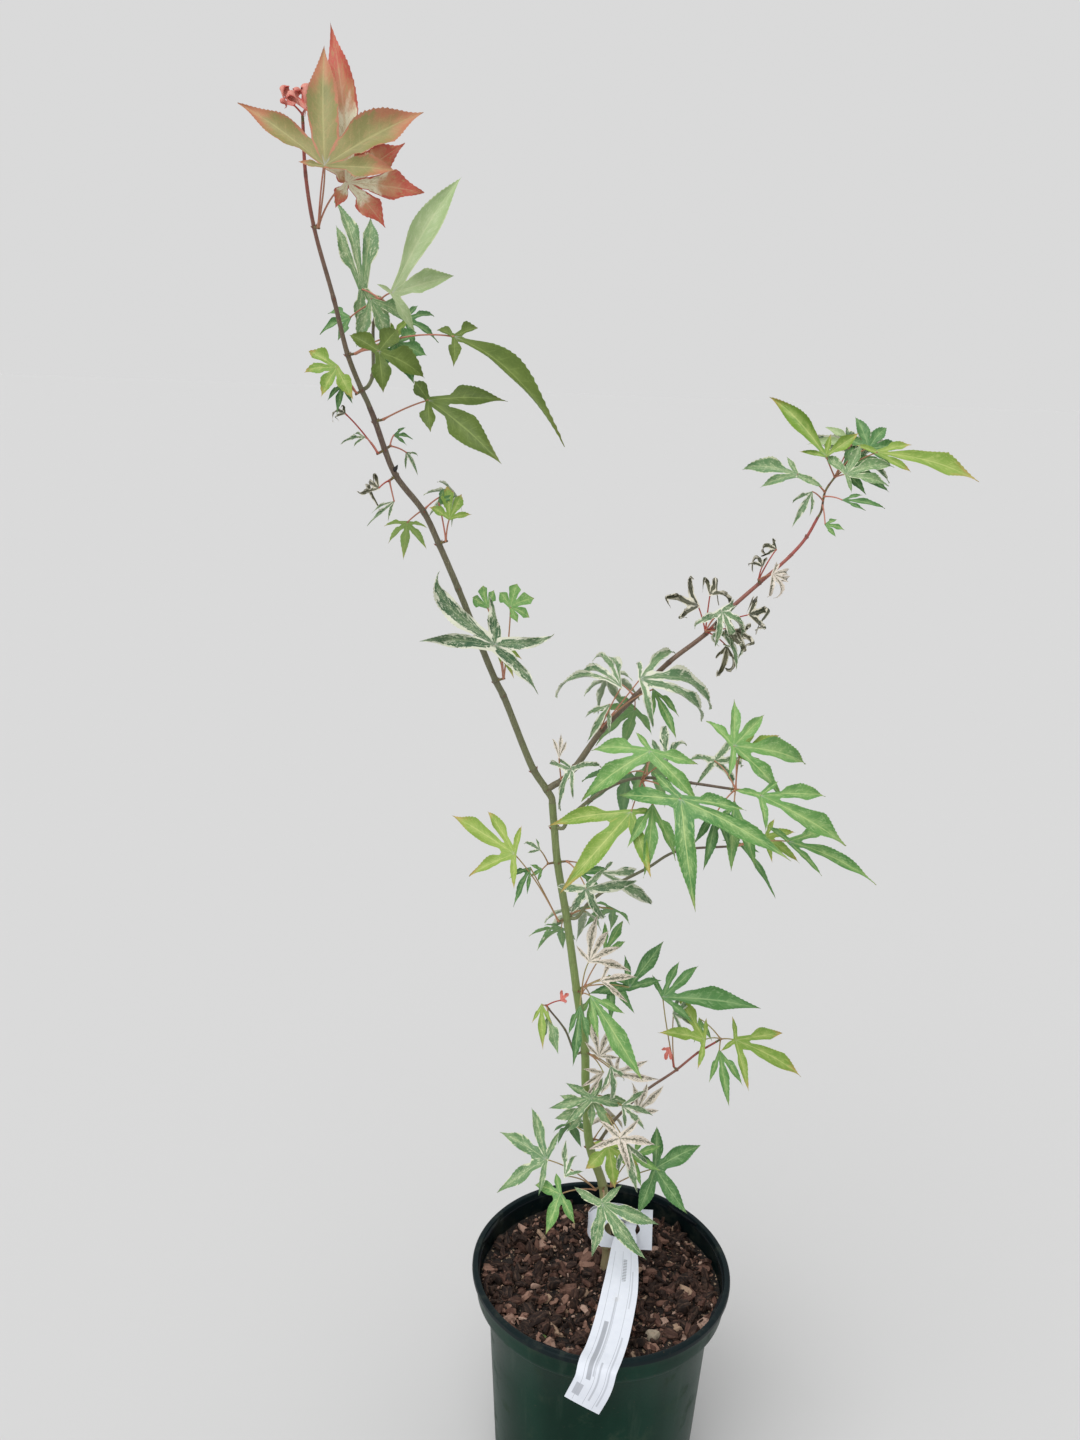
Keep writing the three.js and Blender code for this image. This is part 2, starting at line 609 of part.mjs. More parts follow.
// A palmate leaf as one thin plate: a fan of pointed lobes round the hub, thick along the midribs, sharp at the
// edge. Headings and reaches are seen square to the XZ plane, from the front or, for a leaf that faces back, from
// the back, and the plate's own tilt gives them their depth.
function leafSolid(leaf, draw) {
  const kind = kinds[leaf.kind];
  const up = radians(leaf.up ?? faceUp.mean + spread(draw, faceUp.range));
  const turn = radians(leaf.turn ?? faceTurn.mean + spread(draw, faceTurn.range));
  const normal = new THREE.Vector3(Math.sin(turn) * Math.cos(up), -Math.cos(turn) * Math.cos(up), Math.sin(up));
  const lobes = lobesOf(leaf, draw);
  const longest = Math.max(...lobes.map((lobe) => lobe.reach));
  const small = longest < smallLeaf;
  const hub = vector(leaf.hub);
  const place = (heading, reach, lift) => {
    const x = -Math.sign(normal.y) * reach * Math.cos(radians(heading));
    const z = reach * Math.sin(radians(heading));
    const y = -(normal.x * x + normal.z * z) / normal.y;
    const sag = ((leaf.droop ?? kind.droop) * reach * reach) / longest / 2;
    const point = new THREE.Vector3(x, y, z - sag).add(hub);
    return point.addScaledVector(normal, lift - sag);
  };
  const half = leafThickness / 2;
  const corners = [place(0, 0, half), place(0, 0, -half)];
  const faces = [];
  const count = lobes.length;
  const gapAfter = lobes.map((lobe, i) => {
    const next = lobes[(i + 1) % count];
    return i + 1 < count ? next.heading - lobe.heading : next.heading + 360 - lobe.heading;
  });
  const valleys = lobes.map((lobe, i) => {
    const reach = (small ? smallValleyShare : valleyShare) * Math.min(lobe.reach, lobes[(i + 1) % count].reach);
    return corners.push(place(lobe.heading + gapAfter[i] / 2, reach * Math.min(1, wideGap / gapAfter[i]), 0)) - 1;
  });
  lobes.forEach(({ heading, reach, halfWidth }, i) => {
    const before = (i + count - 1) % count;
    const turnOut = THREE.MathUtils.radToDeg(Math.atan2(halfWidth, midribAt));
    const shoulder = reach * Math.hypot(halfWidth, midribAt);
    const first = corners.length;
    corners.push(
      place(heading, reach * midribAt, half),
      place(heading, reach * midribAt, -half),
      place(heading, reach, 0),
    );
    const rim = [0, valleys[before], first + 2, valleys[i], 0];
    if (!small) {
      corners.push(
        place(heading - Math.min(turnOut, gapUse * gapAfter[before]), shoulder, kind.fold * reach),
        place(heading + Math.min(turnOut, gapUse * gapAfter[i]), shoulder, kind.fold * reach),
      );
      rim.splice(2, 1, first + 3, first + 2, first + 4);
    }
    for (let k = 0; k + 1 < rim.length; k++) {
      faces.push(first, rim[k], rim[k + 1]);
      faces.push(first + 1, rim[k + 1] || 1, rim[k] || 1);
    }
  });
  return solidFrom(corners, faces);
}

// A leaf's stalk, from the twig to the hub's underside, bowed upwards
function stalkSolid(start, leaf, draw) {
  const end = vector(leaf.hub);
  const length = start.distanceTo(end);
  end.addScaledVector(end.clone().sub(start), 1 / length);
  const middle = start.clone().lerp(end, 0.5);
  middle.z += stalkBow * length * (1 + spread(draw, 0.4));
  middle.x += spread(draw, 0.06) * length;
  const curve = new THREE.QuadraticBezierCurve3(start, middle, end);
  const stops = Array.from({ length: stalkSteps + 1 }, (_, i) => i / stalkSteps);
  return closedTube(ringsAlong(curve, stops, () => stalkRadius, stalkSides));
}

// The leaves of a mass at the back: they fan out behind the limb and hang from their stalks' ends. The fan's
// angles are from the way back towards +X.
function grownLeaves({ count, kinds: kindsInTurn, fan: [first, last], stalk, rise, size }, foot, draw) {
  return Array.from({ length: count }, (_, i) => {
    const fan = THREE.MathUtils.lerp(first, last, i / (count - 1)) + spread(draw, grownTurn);
    const out = stalk * (1 + spread(draw, grownVary));
    const hub = [
      foot.x + out * Math.sin(radians(fan)),
      foot.y + out * Math.cos(radians(fan)),
      foot.z + rise + spread(draw, size / 2),
    ];
    const heading = grownHang.mean + spread(draw, grownHang.range);
    const middle = [heading, size * (1 + spread(draw, grownVary))];
    return { hub, kind: kindsInTurn[i % kindsInTurn.length], turn: 180 - grownFacing * fan, middle };
  });
}

// A leaf mass: one spur or twig, and from it the stalks and leaves. A grown leaf that would come too near another
// piece is skipped.
function massSolid(name, number) {
  const mass = masses[name];
  const joint = limbs[mass.limb].curve.getPointAt(limbs[mass.limb].shares[mass.joint]);
  const leaves = mass.leaves ?? grownLeaves(mass.grown, joint, seededDraws(100 * number));
  const centre = new THREE.Vector3();
  leaves.forEach((leaf) => centre.addScaledVector(vector(leaf.hub), 1 / leaves.length));
  const { start, out } = seatOn(mass.limb, mass.joint, centre);
  const twig = [start, start.clone().addScaledVector(out, spurLength), ...(mass.twig ?? []).map(vector)];
  const curve = new THREE.CatmullRomCurve3(twig, false, "centripetal");
  const rings = mass.twig ? 2 * twig.length - 1 : twig.length;
  const stops = Array.from({ length: rings }, (_, i) => i / (rings - 1));
  const parts = [closedTube(ringsAlong(curve, stops, () => spurRadius, 4))];
  leaves.forEach((leaf, i) => {
    const draw = seededDraws(100 * number + i + 1);
    const root = curve.getPointAt((leaf.at ?? 1) * (1 - 1 / curve.getLength()));
    const grown = wasm.Manifold.union(leafSolid(leaf, draw), stalkSolid(root, leaf, draw));
    if (mass.leaves || made.every((other) => other.minGap(grown, 2 * clear) > clear)) {
      parts.push(grown);
    }
  });
  return wholeBody(wasm.Manifold.union(parts));
}

// The pot: a turned wall with collar and lip, and a flat floor with drain holes
function potSolid() {
  const { height, wall, floor, lipHeight } = pot;
  const innerLip = pot.lipRadius - pot.lipWidth;
  const ledge = innerLip - pot.ledgeWidth;
  const profile = [
    [0, 0],
    [pot.footRadius - pot.footChamfer, 0],
    [pot.footRadius, pot.footChamfer],
    [pot.wallTopRadius, pot.wallTopHeight],
    [pot.collarRadius, pot.wallTopHeight + 1.5],
    [pot.collarTopRadius, height - lipHeight],
    [pot.lipRadius, height - lipHeight + 0.6],
    [pot.lipRadius, height - 1.2],
    [pot.lipRadius - 1.2, height],
    [innerLip, height],
    [innerLip, height - pot.ledgeDrop],
    [ledge, height - pot.ledgeDrop - 0.4],
    [ledge, pot.wallTopHeight + pot.shelfRise],
    [pot.wallTopRadius - wall, pot.wallTopHeight + pot.shelfRise - 1.5],
    [pot.footRadius - wall, floor],
    [0, floor],
  ].map(([r, z]) => new THREE.Vector2(r, z));
  const turned = new THREE.LatheGeometry(profile, pot.sides).rotateX(Math.PI / 2);
  let body = solidOfGeometry(turned);
  for (let i = 0; i < pot.drainHoles; i++) {
    const turn = (2 * Math.PI * i) / pot.drainHoles;
    const drill = new THREE.CylinderGeometry(pot.drainHoleRadius, pot.drainHoleRadius, 3 * floor, 10);
    drill.rotateX(Math.PI / 2);
    drill.translate(pot.drainCircle * Math.cos(turn), pot.drainCircle * Math.sin(turn), floor / 2);
    body = body.subtract(solidOfGeometry(drill));
  }
  return body;
}

// Compost and bark: fills the pot to the mulch's uneven top, with a level seat for the trunk's foot
function mulchSolid() {
  const draw = seededDraws(mulch.seed);
  const gap = clear + 0.1;
  const shelf = pot.wallTopHeight + pot.shelfRise;
  const bottom = pot.floor + gap;
  // Outline of the fill's side, from its top edge in the collar down past the shelf to the pot's floor
  const side = [
    [pot.lipRadius - pot.lipWidth - pot.ledgeWidth - gap, shelf + gap],
    [pot.wallTopRadius - pot.wall - gap, shelf - 1.5 + gap],
    [pot.footRadius - pot.wall - gap, bottom],
  ];
  const seat = vector(limbs.trunk.through[0]).setZ(mulch.top);
  const corners = [new THREE.Vector3(0, 0, bottom), seat];
  const faces = [];
  const { sectors } = mulch;
  const rings = mulch.rings + side.length - 1;
  for (let ring = 0; ring <= rings; ring++) {
    for (let k = 0; k < sectors; k++) {
      const turn = (2 * Math.PI * (k + 0.5 * (ring % 2))) / sectors;
      const way = new THREE.Vector3(Math.cos(turn), Math.sin(turn), 0);
      if (ring >= mulch.rings) {
        const [radius, height] = side[ring - mulch.rings];
        corners.push(way.setLength(radius).setZ(height));
        continue;
      }
      const near = seat.clone().setZ(0).addScaledVector(way, mulch.seatRadius);
      const corner = near.lerp(way.setLength(side[0][0]), ring / mulch.rings);
      corners.push(corner.setZ(mulch.top + (ring === 0 ? 0 : spread(draw, mulch.roughness))));
    }
  }
  for (let k = 0; k < sectors; k++) {
    const next = (k + 1) % sectors;
    faces.push(1, 2 + k, 2 + next);
    for (let ring = 0; ring < rings; ring++) {
      const [a, b] = [2 + ring * sectors + k, 2 + ring * sectors + next];
      const [c, d] = [a + sectors, b + sectors];
      if (ring % 2 === 0) {
        faces.push(a, c, b, b, c, d);
      } else {
        faces.push(a, c, d, a, d, b);
      }
    }
    const last = 2 + rings * sectors;
    faces.push(0, last + next, last + k);
  }
  return solidFrom(corners, faces);
}

// The label: a flat strip swept along its course, with its slot cut through the head plate
function labelSolid() {
  const { course, slot } = label;
  const middle = new THREE.CatmullRomCurve3(course.map(({ at }) => vector(at)), false, "centripetal");
  const widths = new THREE.CatmullRomCurve3(course.map(({ across }) => vector(across)), false, "centripetal");
  const steps = 2 * (course.length - 1);
  const rings = Array.from({ length: steps + 1 }, (_, i) => {
    const centre = middle.getPoint(i / steps);
    const tangent = middle.getTangent(i / steps);
    const width = (course[Math.floor(i / 2)].width + course[Math.ceil(i / 2)].width) / 2;
    const across = widths.getPoint(i / steps);
    across.addScaledVector(tangent, -across.dot(tangent)).setLength(width / 2);
    const through = tangent.clone().cross(across).setLength(label.thickness / 2);
    return [[1, 1], [-1, 1], [-1, -1], [1, -1]].map(([a, t]) => {
      return centre.clone().addScaledVector(across, a).addScaledVector(through, t);
    });
  });
  const punch = new THREE.CylinderGeometry(1, 1, slot.depth, 24);
  punch.scale(slot.halfWidth, 1, slot.halfHeight);
  punch.rotateX(-THREE.MathUtils.degToRad(slot.lean));
  punch.translate(...slot.centre);
  const plate = closedTube(rings.slice(0, label.plateRings + 1)).subtract(solidOfGeometry(punch));
  return plate.add(closedTube(rings.slice(label.plateRings)));
}

const plant = new THREE.Group();
const made = [];

function addPiece(name, solid, colour, roughness) {
  const material = new THREE.MeshStandardMaterial({ color: colour, roughness, metalness: 0 });
  const mesh = new THREE.Mesh(geometryOf(solid), material);
  mesh.name = name;
  plant.add(mesh);
  made.push(solid);
}

addPiece("pot", potSolid(), colours.pot, 0.45);
addPiece("bark_mulch", mulchSolid(), colours.mulch, 0.95);
addPiece("stem_label", labelSolid(), colours.label, 0.5);

const bark = {
  trunk: colours.greenBark,
  right_bough: colours.redBark,
  leader_upper: colours.redBark,
  low_branch: colours.redBark,
};
Object.keys(limbs).forEach((name) => {
  layLimb(name);
  addPiece(name, limbSolid(name), bark[name] ?? colours.oliveBark, 0.7);
});

Object.keys(masses).forEach((name, i) => {
  const { leaves, grown } = masses[name];
  const kind = leaves ? leaves[0].kind : grown.kinds[0];
  addPiece(name, massSolid(name, i + 1), kinds[kind].colour, 0.6);
});

export default plant;
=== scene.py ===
# Potted young maple: nursery pot, bark mulch, loop label, stems, and leaves of twelve kinds.
# Blender 4.5. Tables are in millimetres, as the frame's source has them; meshes are in metres.
import math
import bmesh
import bpy
import numpy as np
from mathutils import Matrix, Vector, noise


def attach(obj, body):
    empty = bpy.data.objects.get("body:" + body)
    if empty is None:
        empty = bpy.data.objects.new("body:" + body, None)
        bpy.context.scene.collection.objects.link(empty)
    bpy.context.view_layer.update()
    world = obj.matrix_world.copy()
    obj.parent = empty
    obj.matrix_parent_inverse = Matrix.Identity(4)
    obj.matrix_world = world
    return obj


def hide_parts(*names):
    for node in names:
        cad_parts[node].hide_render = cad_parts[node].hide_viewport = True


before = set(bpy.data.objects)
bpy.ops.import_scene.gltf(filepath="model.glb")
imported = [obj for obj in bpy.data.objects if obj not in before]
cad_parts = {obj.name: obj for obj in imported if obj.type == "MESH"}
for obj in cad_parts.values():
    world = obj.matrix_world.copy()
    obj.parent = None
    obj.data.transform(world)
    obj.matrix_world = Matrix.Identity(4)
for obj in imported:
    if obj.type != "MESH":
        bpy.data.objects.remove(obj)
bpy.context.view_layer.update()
millimetre = 0.001


# camera, at the photograph's angle
viewPoint = {
    "at": (-0.059, -0.750, 0.800), "pitchDown": 15.4, "roll": 2.0,
    "lens": 30.0, "sensor": 36.0, "near": 0.01,
}


def addCamera():
    data = bpy.data.cameras.new("plant_view")
    data.sensor_fit = "VERTICAL"
    data.sensor_height = viewPoint["sensor"]
    data.lens = viewPoint["lens"]
    data.clip_start = viewPoint["near"]
    camera = bpy.data.objects.new("plant_view", data)
    bpy.context.scene.collection.objects.link(camera)
    pitch, roll = math.radians(viewPoint["pitchDown"]), math.radians(viewPoint["roll"])
    rise = Vector((0, math.sin(pitch), math.cos(pitch)))
    right = Vector((1, 0, 0)) * math.cos(roll) + rise * math.sin(roll)
    up = rise * math.cos(roll) - Vector((1, 0, 0)) * math.sin(roll)
    turn = Matrix((right, up, right.cross(up))).transposed().to_4x4()
    camera.matrix_world = Matrix.Translation(viewPoint["at"]) @ turn
    bpy.context.scene.camera = camera


addCamera()


# small helpers
def selectOnly(*pieces):
    bpy.ops.object.select_all(action="DESELECT")
    for piece in pieces:
        piece.select_set(True)
    bpy.context.view_layer.objects.active = pieces[-1]


def punchOut(piece, punch):
    cut = piece.modifiers.new("punch", "BOOLEAN")
    cut.object, cut.solver = punch, "EXACT"
    selectOnly(piece)
    bpy.ops.object.modifier_apply(modifier=cut.name)
    bpy.data.objects.remove(punch)


def mend(piece, weld=0):
    # corners nearer than weld become one, and every face looks outward
    selectOnly(piece)
    bpy.ops.object.mode_set(mode="EDIT")
    bpy.ops.mesh.select_all(action="SELECT")
    if weld:
        bpy.ops.mesh.remove_doubles(threshold=weld)
    bpy.ops.mesh.normals_make_consistent(inside=False)
    bpy.ops.object.mode_set(mode="OBJECT")


def pieceFromLists(name, corners, faces, edges=()):
    mesh = bpy.data.meshes.new(name)
    mesh.from_pydata((np.array(corners, float) * millimetre).tolist(), edges, faces)
    piece = bpy.data.objects.new(name, mesh)
    bpy.context.scene.collection.objects.link(piece)
    return piece


def cornerMap(piece, name, values):
    layer = piece.data.uv_layers.new(name=name)
    layer.data.foreach_set("uv", np.asarray(values, np.float32).ravel())


def cornerTone(piece, name, values):
    layer = piece.data.color_attributes.new(name, "FLOAT_COLOR", "CORNER")
    layer.data.foreach_set("color", np.asarray(values, np.float32).ravel())


def sharesTo(count):
    return [i / count for i in range(count + 1)]


def quadsRound(first, rings, around):
    # the faces between rings of corners that follow each other in a list
    for low in range(first, first + rings * around, around):
        for k in range(around):
            nextK = (k + 1) % around
            yield low + k, low + nextK, low + around + nextK, low + around + k


def newStore():
    return {"corners": [], "faces": [], "map": [], "atlas": [], "tone": []}


def pieceFromStore(name, store, mapName, toneName):
    piece = pieceFromLists(name, store["corners"], store["faces"])
    if store["atlas"]:
        cornerMap(piece, "OFBake", store["atlas"])
    cornerMap(piece, mapName, store["map"])
    cornerTone(piece, toneName, store["tone"])
    return piece


def finishPiece(piece, smoothTo, material, slotName, nodes):
    selectOnly(piece)
    bpy.ops.object.shade_smooth_by_angle(angle=math.radians(smoothTo))
    piece.data.materials.clear()
    piece.data.materials.append(material)
    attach(piece, "root")
    if nodes:
        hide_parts(*nodes)


def seededDraws(seed):
    state = (seed * 2654435761) & 0xFFFFFFFF

    def draw():
        nonlocal state
        state = (state * 1664525 + 1013904223) & 0xFFFFFFFF
        return state / 4294967296

    return draw


def spread(draw, amount):
    return (2 * draw() - 1) * amount


def turned(degrees):
    return math.cos(math.radians(degrees)), math.sin(math.radians(degrees))


def unit(vector):
    return vector / np.linalg.norm(vector)


def sRgb(*channels):
    parts = [value / 255 for value in channels]
    return (*(value / 12.92 if value <= 0.04045 else ((value + 0.055) / 1.055) ** 2.4 for value in parts), 1.0)


# the nodes of a material or a shared effect, with short names for what the looks are made of
class Nodes:
    def __init__(self, tree, material=None):
        self.tree, self.material = tree, material

    def put(self, value, socket):
        if isinstance(value, bpy.types.NodeSocket):
            self.tree.links.new(value, socket)
        else:
            socket.default_value = value

    def add(self, kind, inputs=None, **settings):
        node = self.tree.nodes.new("ShaderNode" + kind)
        for key, value in settings.items():
            setattr(node, key, value)
        for key, value in (inputs or {}).items():
            self.put(value, node.inputs[key])
        return node

    def math(self, operation, first, second=0.0, third=0.0):
        return self.add("Math", {0: first, 1: second, 2: third}, operation=operation).outputs[0]

    def times(self, first, second):
        return self.math("MULTIPLY", first, second)

    def timesPlus(self, first, second, third):
        return self.math("MULTIPLY_ADD", first, second, third)

    def minus(self, first, second):
        return self.math("SUBTRACT", first, second)

    def mix(self, share, first, second, blend="MIX"):
        inputs = {"Factor": share, 6: first, 7: second}
        return self.add("Mix", inputs, data_type="RGBA", blend_type=blend).outputs[2]

    # from none at the low value to all at the high one, which may be the smaller of the two
    def step(self, value, low, high):
        inputs = {"Value": value, "From Min": low, "From Max": high}
        return self.add("MapRange", inputs, interpolation_type="SMOOTHSTEP").outputs["Result"]

    def place(self, stretch=None):
        spot = self.add("TexCoord").outputs["Object"]
        return self.stretched(spot, stretch) if stretch else spot

    def stretched(self, spot, stretch):
        return self.add("Mapping", {"Vector": spot, "Scale": stretch}).outputs[0]

    def noise(self, scale, detail=3.0, stretch=None, roughness=0.55):
        return self.noiseAt(self.place(stretch), scale, detail, roughness)

    def noiseAt(self, spot, scale, detail, roughness):
        inputs = {"Vector": spot, "Scale": scale, "Detail": detail, "Roughness": roughness}
        return self.add("TexNoise", inputs).outputs["Fac"]

    def grit(self, low, high, *settings):
        return self.step(self.noise(*settings), low, high)

    def axes(self, vector):
        return self.add("SeparateXYZ", {0: vector}).outputs

    def uv(self, name):
        return self.add("UVMap", uv_map=name).outputs[0]

    def channels(self, colour):
        return self.add("SeparateColor", {0: colour}).outputs

    def tones(self, name):
        return self.channels(self.add("VertexColor", layer_name=name).outputs[0])

    def ramp(self, value, *stops):
        node = self.add("ValToRGB", {"Fac": value})
        elements = node.color_ramp.elements
        while len(elements) < len(stops):
            elements.new(0.5)
        for element, (place, colour) in zip(elements, stops):
            element.position, element.color = place, sRgb(*colour)
        return node.outputs["Color"]

    # what a finished material or effect gives out
    def dress(self, colour, roughness, height, strength, depth, shine=0.5):
        bump = self.add("Bump", {"Height": height, "Strength": strength, "Distance": depth}).outputs[0]
        shader = self.tree.nodes["Principled BSDF"].inputs
        self.put(colour, shader["Base Color"])
        self.put(roughness, shader["Roughness"])
        self.put(bump, shader["Normal"])
        self.put(shine, shader["Specular IOR Level"])
        return self.material

    def giveOut(self, out, colour, roughness, height):
        for label, value in (("colour", colour), ("roughness", roughness), ("height", height)):
            self.put(value, out[label])
        return self.tree


def newMaterial(name):
    material = bpy.data.materials.new(name)
    material.use_nodes = True
    return Nodes(material.node_tree, material)


def newGroup(name, colours, numbers):
    # a shared effect: its colours and numbers go in; a colour, a roughness and a height come out
    group = bpy.data.node_groups.new(name, "ShaderNodeTree")
    new = group.interface.new_socket
    for label in colours:
        new(name=label, in_out="INPUT", socket_type="NodeSocketColor").default_value = (0.5, 0.5, 0.5, 1)
    for label, value in numbers.items():
        new(name=label, in_out="INPUT", socket_type="NodeSocketFloat").default_value = value
    for label, kind in (("colour", "Color"), ("height", "Float"), ("roughness", "Float")):
        new(name=label, in_out="OUTPUT", socket_type="NodeSocket" + kind)
    return Nodes(group), group.nodes.new("NodeGroupInput").outputs, group.nodes.new("NodeGroupOutput").inputs


def groupMaterial(name, group, values, *bumpAndShine):
    n = newMaterial(name)
    made = n.add("Group", values, node_tree=group).outputs
    return n.dress(made["colour"], made["roughness"], made["height"], *bumpAndShine)


print("camera and helpers ready")


# stems: the same courses as the frame's limbs
limbs = {
    "trunk": {
        "radii": (3.5, 2.5), "flare": 2.2,
        "through": [(6, 14, 162.3), (5, 14, 182), (2, 13, 214), (-1, 12, 237), (-12, 10, 271), (-17, 9, 317),
            (-19, 8, 349), (-27, 6, 398), (-36, 5, 452), (-44, 3, 494), (-47, 2, 519), (-49, 0, 537)],
    },
    "leader_lower": {
        "from": ("trunk", 11), "radii": (2.4, 1.7),
        "through": [(-53, 0, 546), (-62, -2, 560), (-83, -8, 611), (-88, -10, 621), (-112, -18, 680),
            (-124, -22, 708), (-133, -25, 727), (-149, -30, 748), (-155, -34, 763), (-160, -38, 779),
            (-163, -40, 787)],
    },
    "leader_upper": {
        "from": ("leader_lower", 11), "radii": (1.6, 0.9),
        "through": [(-167, -42, 796), (-174, -47, 815), (-180, -56, 844), (-188, -68, 879), (-190, -78, 903),
            (-189, -88, 926)],
    },
    "leader_side_shoot": {
        "from": ("leader_upper", 1), "radii": (1.2, 0.9),
        "through": [(-162, -34, 804), (-162, -31, 818), (-162, -29, 833), (-159, -29, 843)],
    },
    "right_bough": {
        "from": ("leader_lower", 1), "radii": (2.3, 1.0),
        "through": [(-43, 2, 552), (-35, 3, 561), (-18, 8, 586), (3, 14, 608), (24, 20, 630), (48, 26, 649),
            (63, 30, 665), (82, 36, 682), (102, 42, 700), (112, 45, 712), (119, 48, 725)],
    },
    "middle_branch": {
        "from": ("trunk", 10), "radii": (1.4, 0.9),
        "through": [(-38, -3, 527), (-25, -10, 543), (-7, -22, 560), (8, -32, 567), (35, -42, 568),
            (60, -45, 566)],
    },
    "lower_branch": {
        "from": ("trunk", 8), "radii": (1.3, 0.8),
        "through": [(-22, 2, 465), (-11, -2, 477), (15, -10, 497), (33, -16, 512), (68, -26, 521)],
    },
    "low_branch": {
        "from": ("trunk", 4), "radii": (1.3, 0.8),
        "through": [(4, 17, 286), (25, 26, 305), (50, 32, 322), (65, 36, 334), (79, 38, 343)],
    },
    "left_twig": {
        "from": ("trunk", 6), "radii": (0.9, 0.7),
        "through": [(-34, 2, 369), (-46, -4, 388)],
    },
}

# leaf masses: the limb and joint that each stands on, its leaves, and more leaves that fill it
# and don't shift its middle.
# A leaf has a kind, a hub, its lobes (heading, reach, half width, lean) or the heading and reach
# of the middle one alone, and whatever departs from its kind.
def leaf(kind, hub, *lobes, **own):
    return {"kind": kind, "hub": hub, **({"lobes": lobes} if lobes else {}), **own}


def more(kind, hub, *lobes, **own):
    return leaf(kind, hub, *lobes, filler=True, **own)


def mass(limb, joint, *leaves, **own):
    return {"limb": limb, "joint": joint, "leaves": leaves, **own}


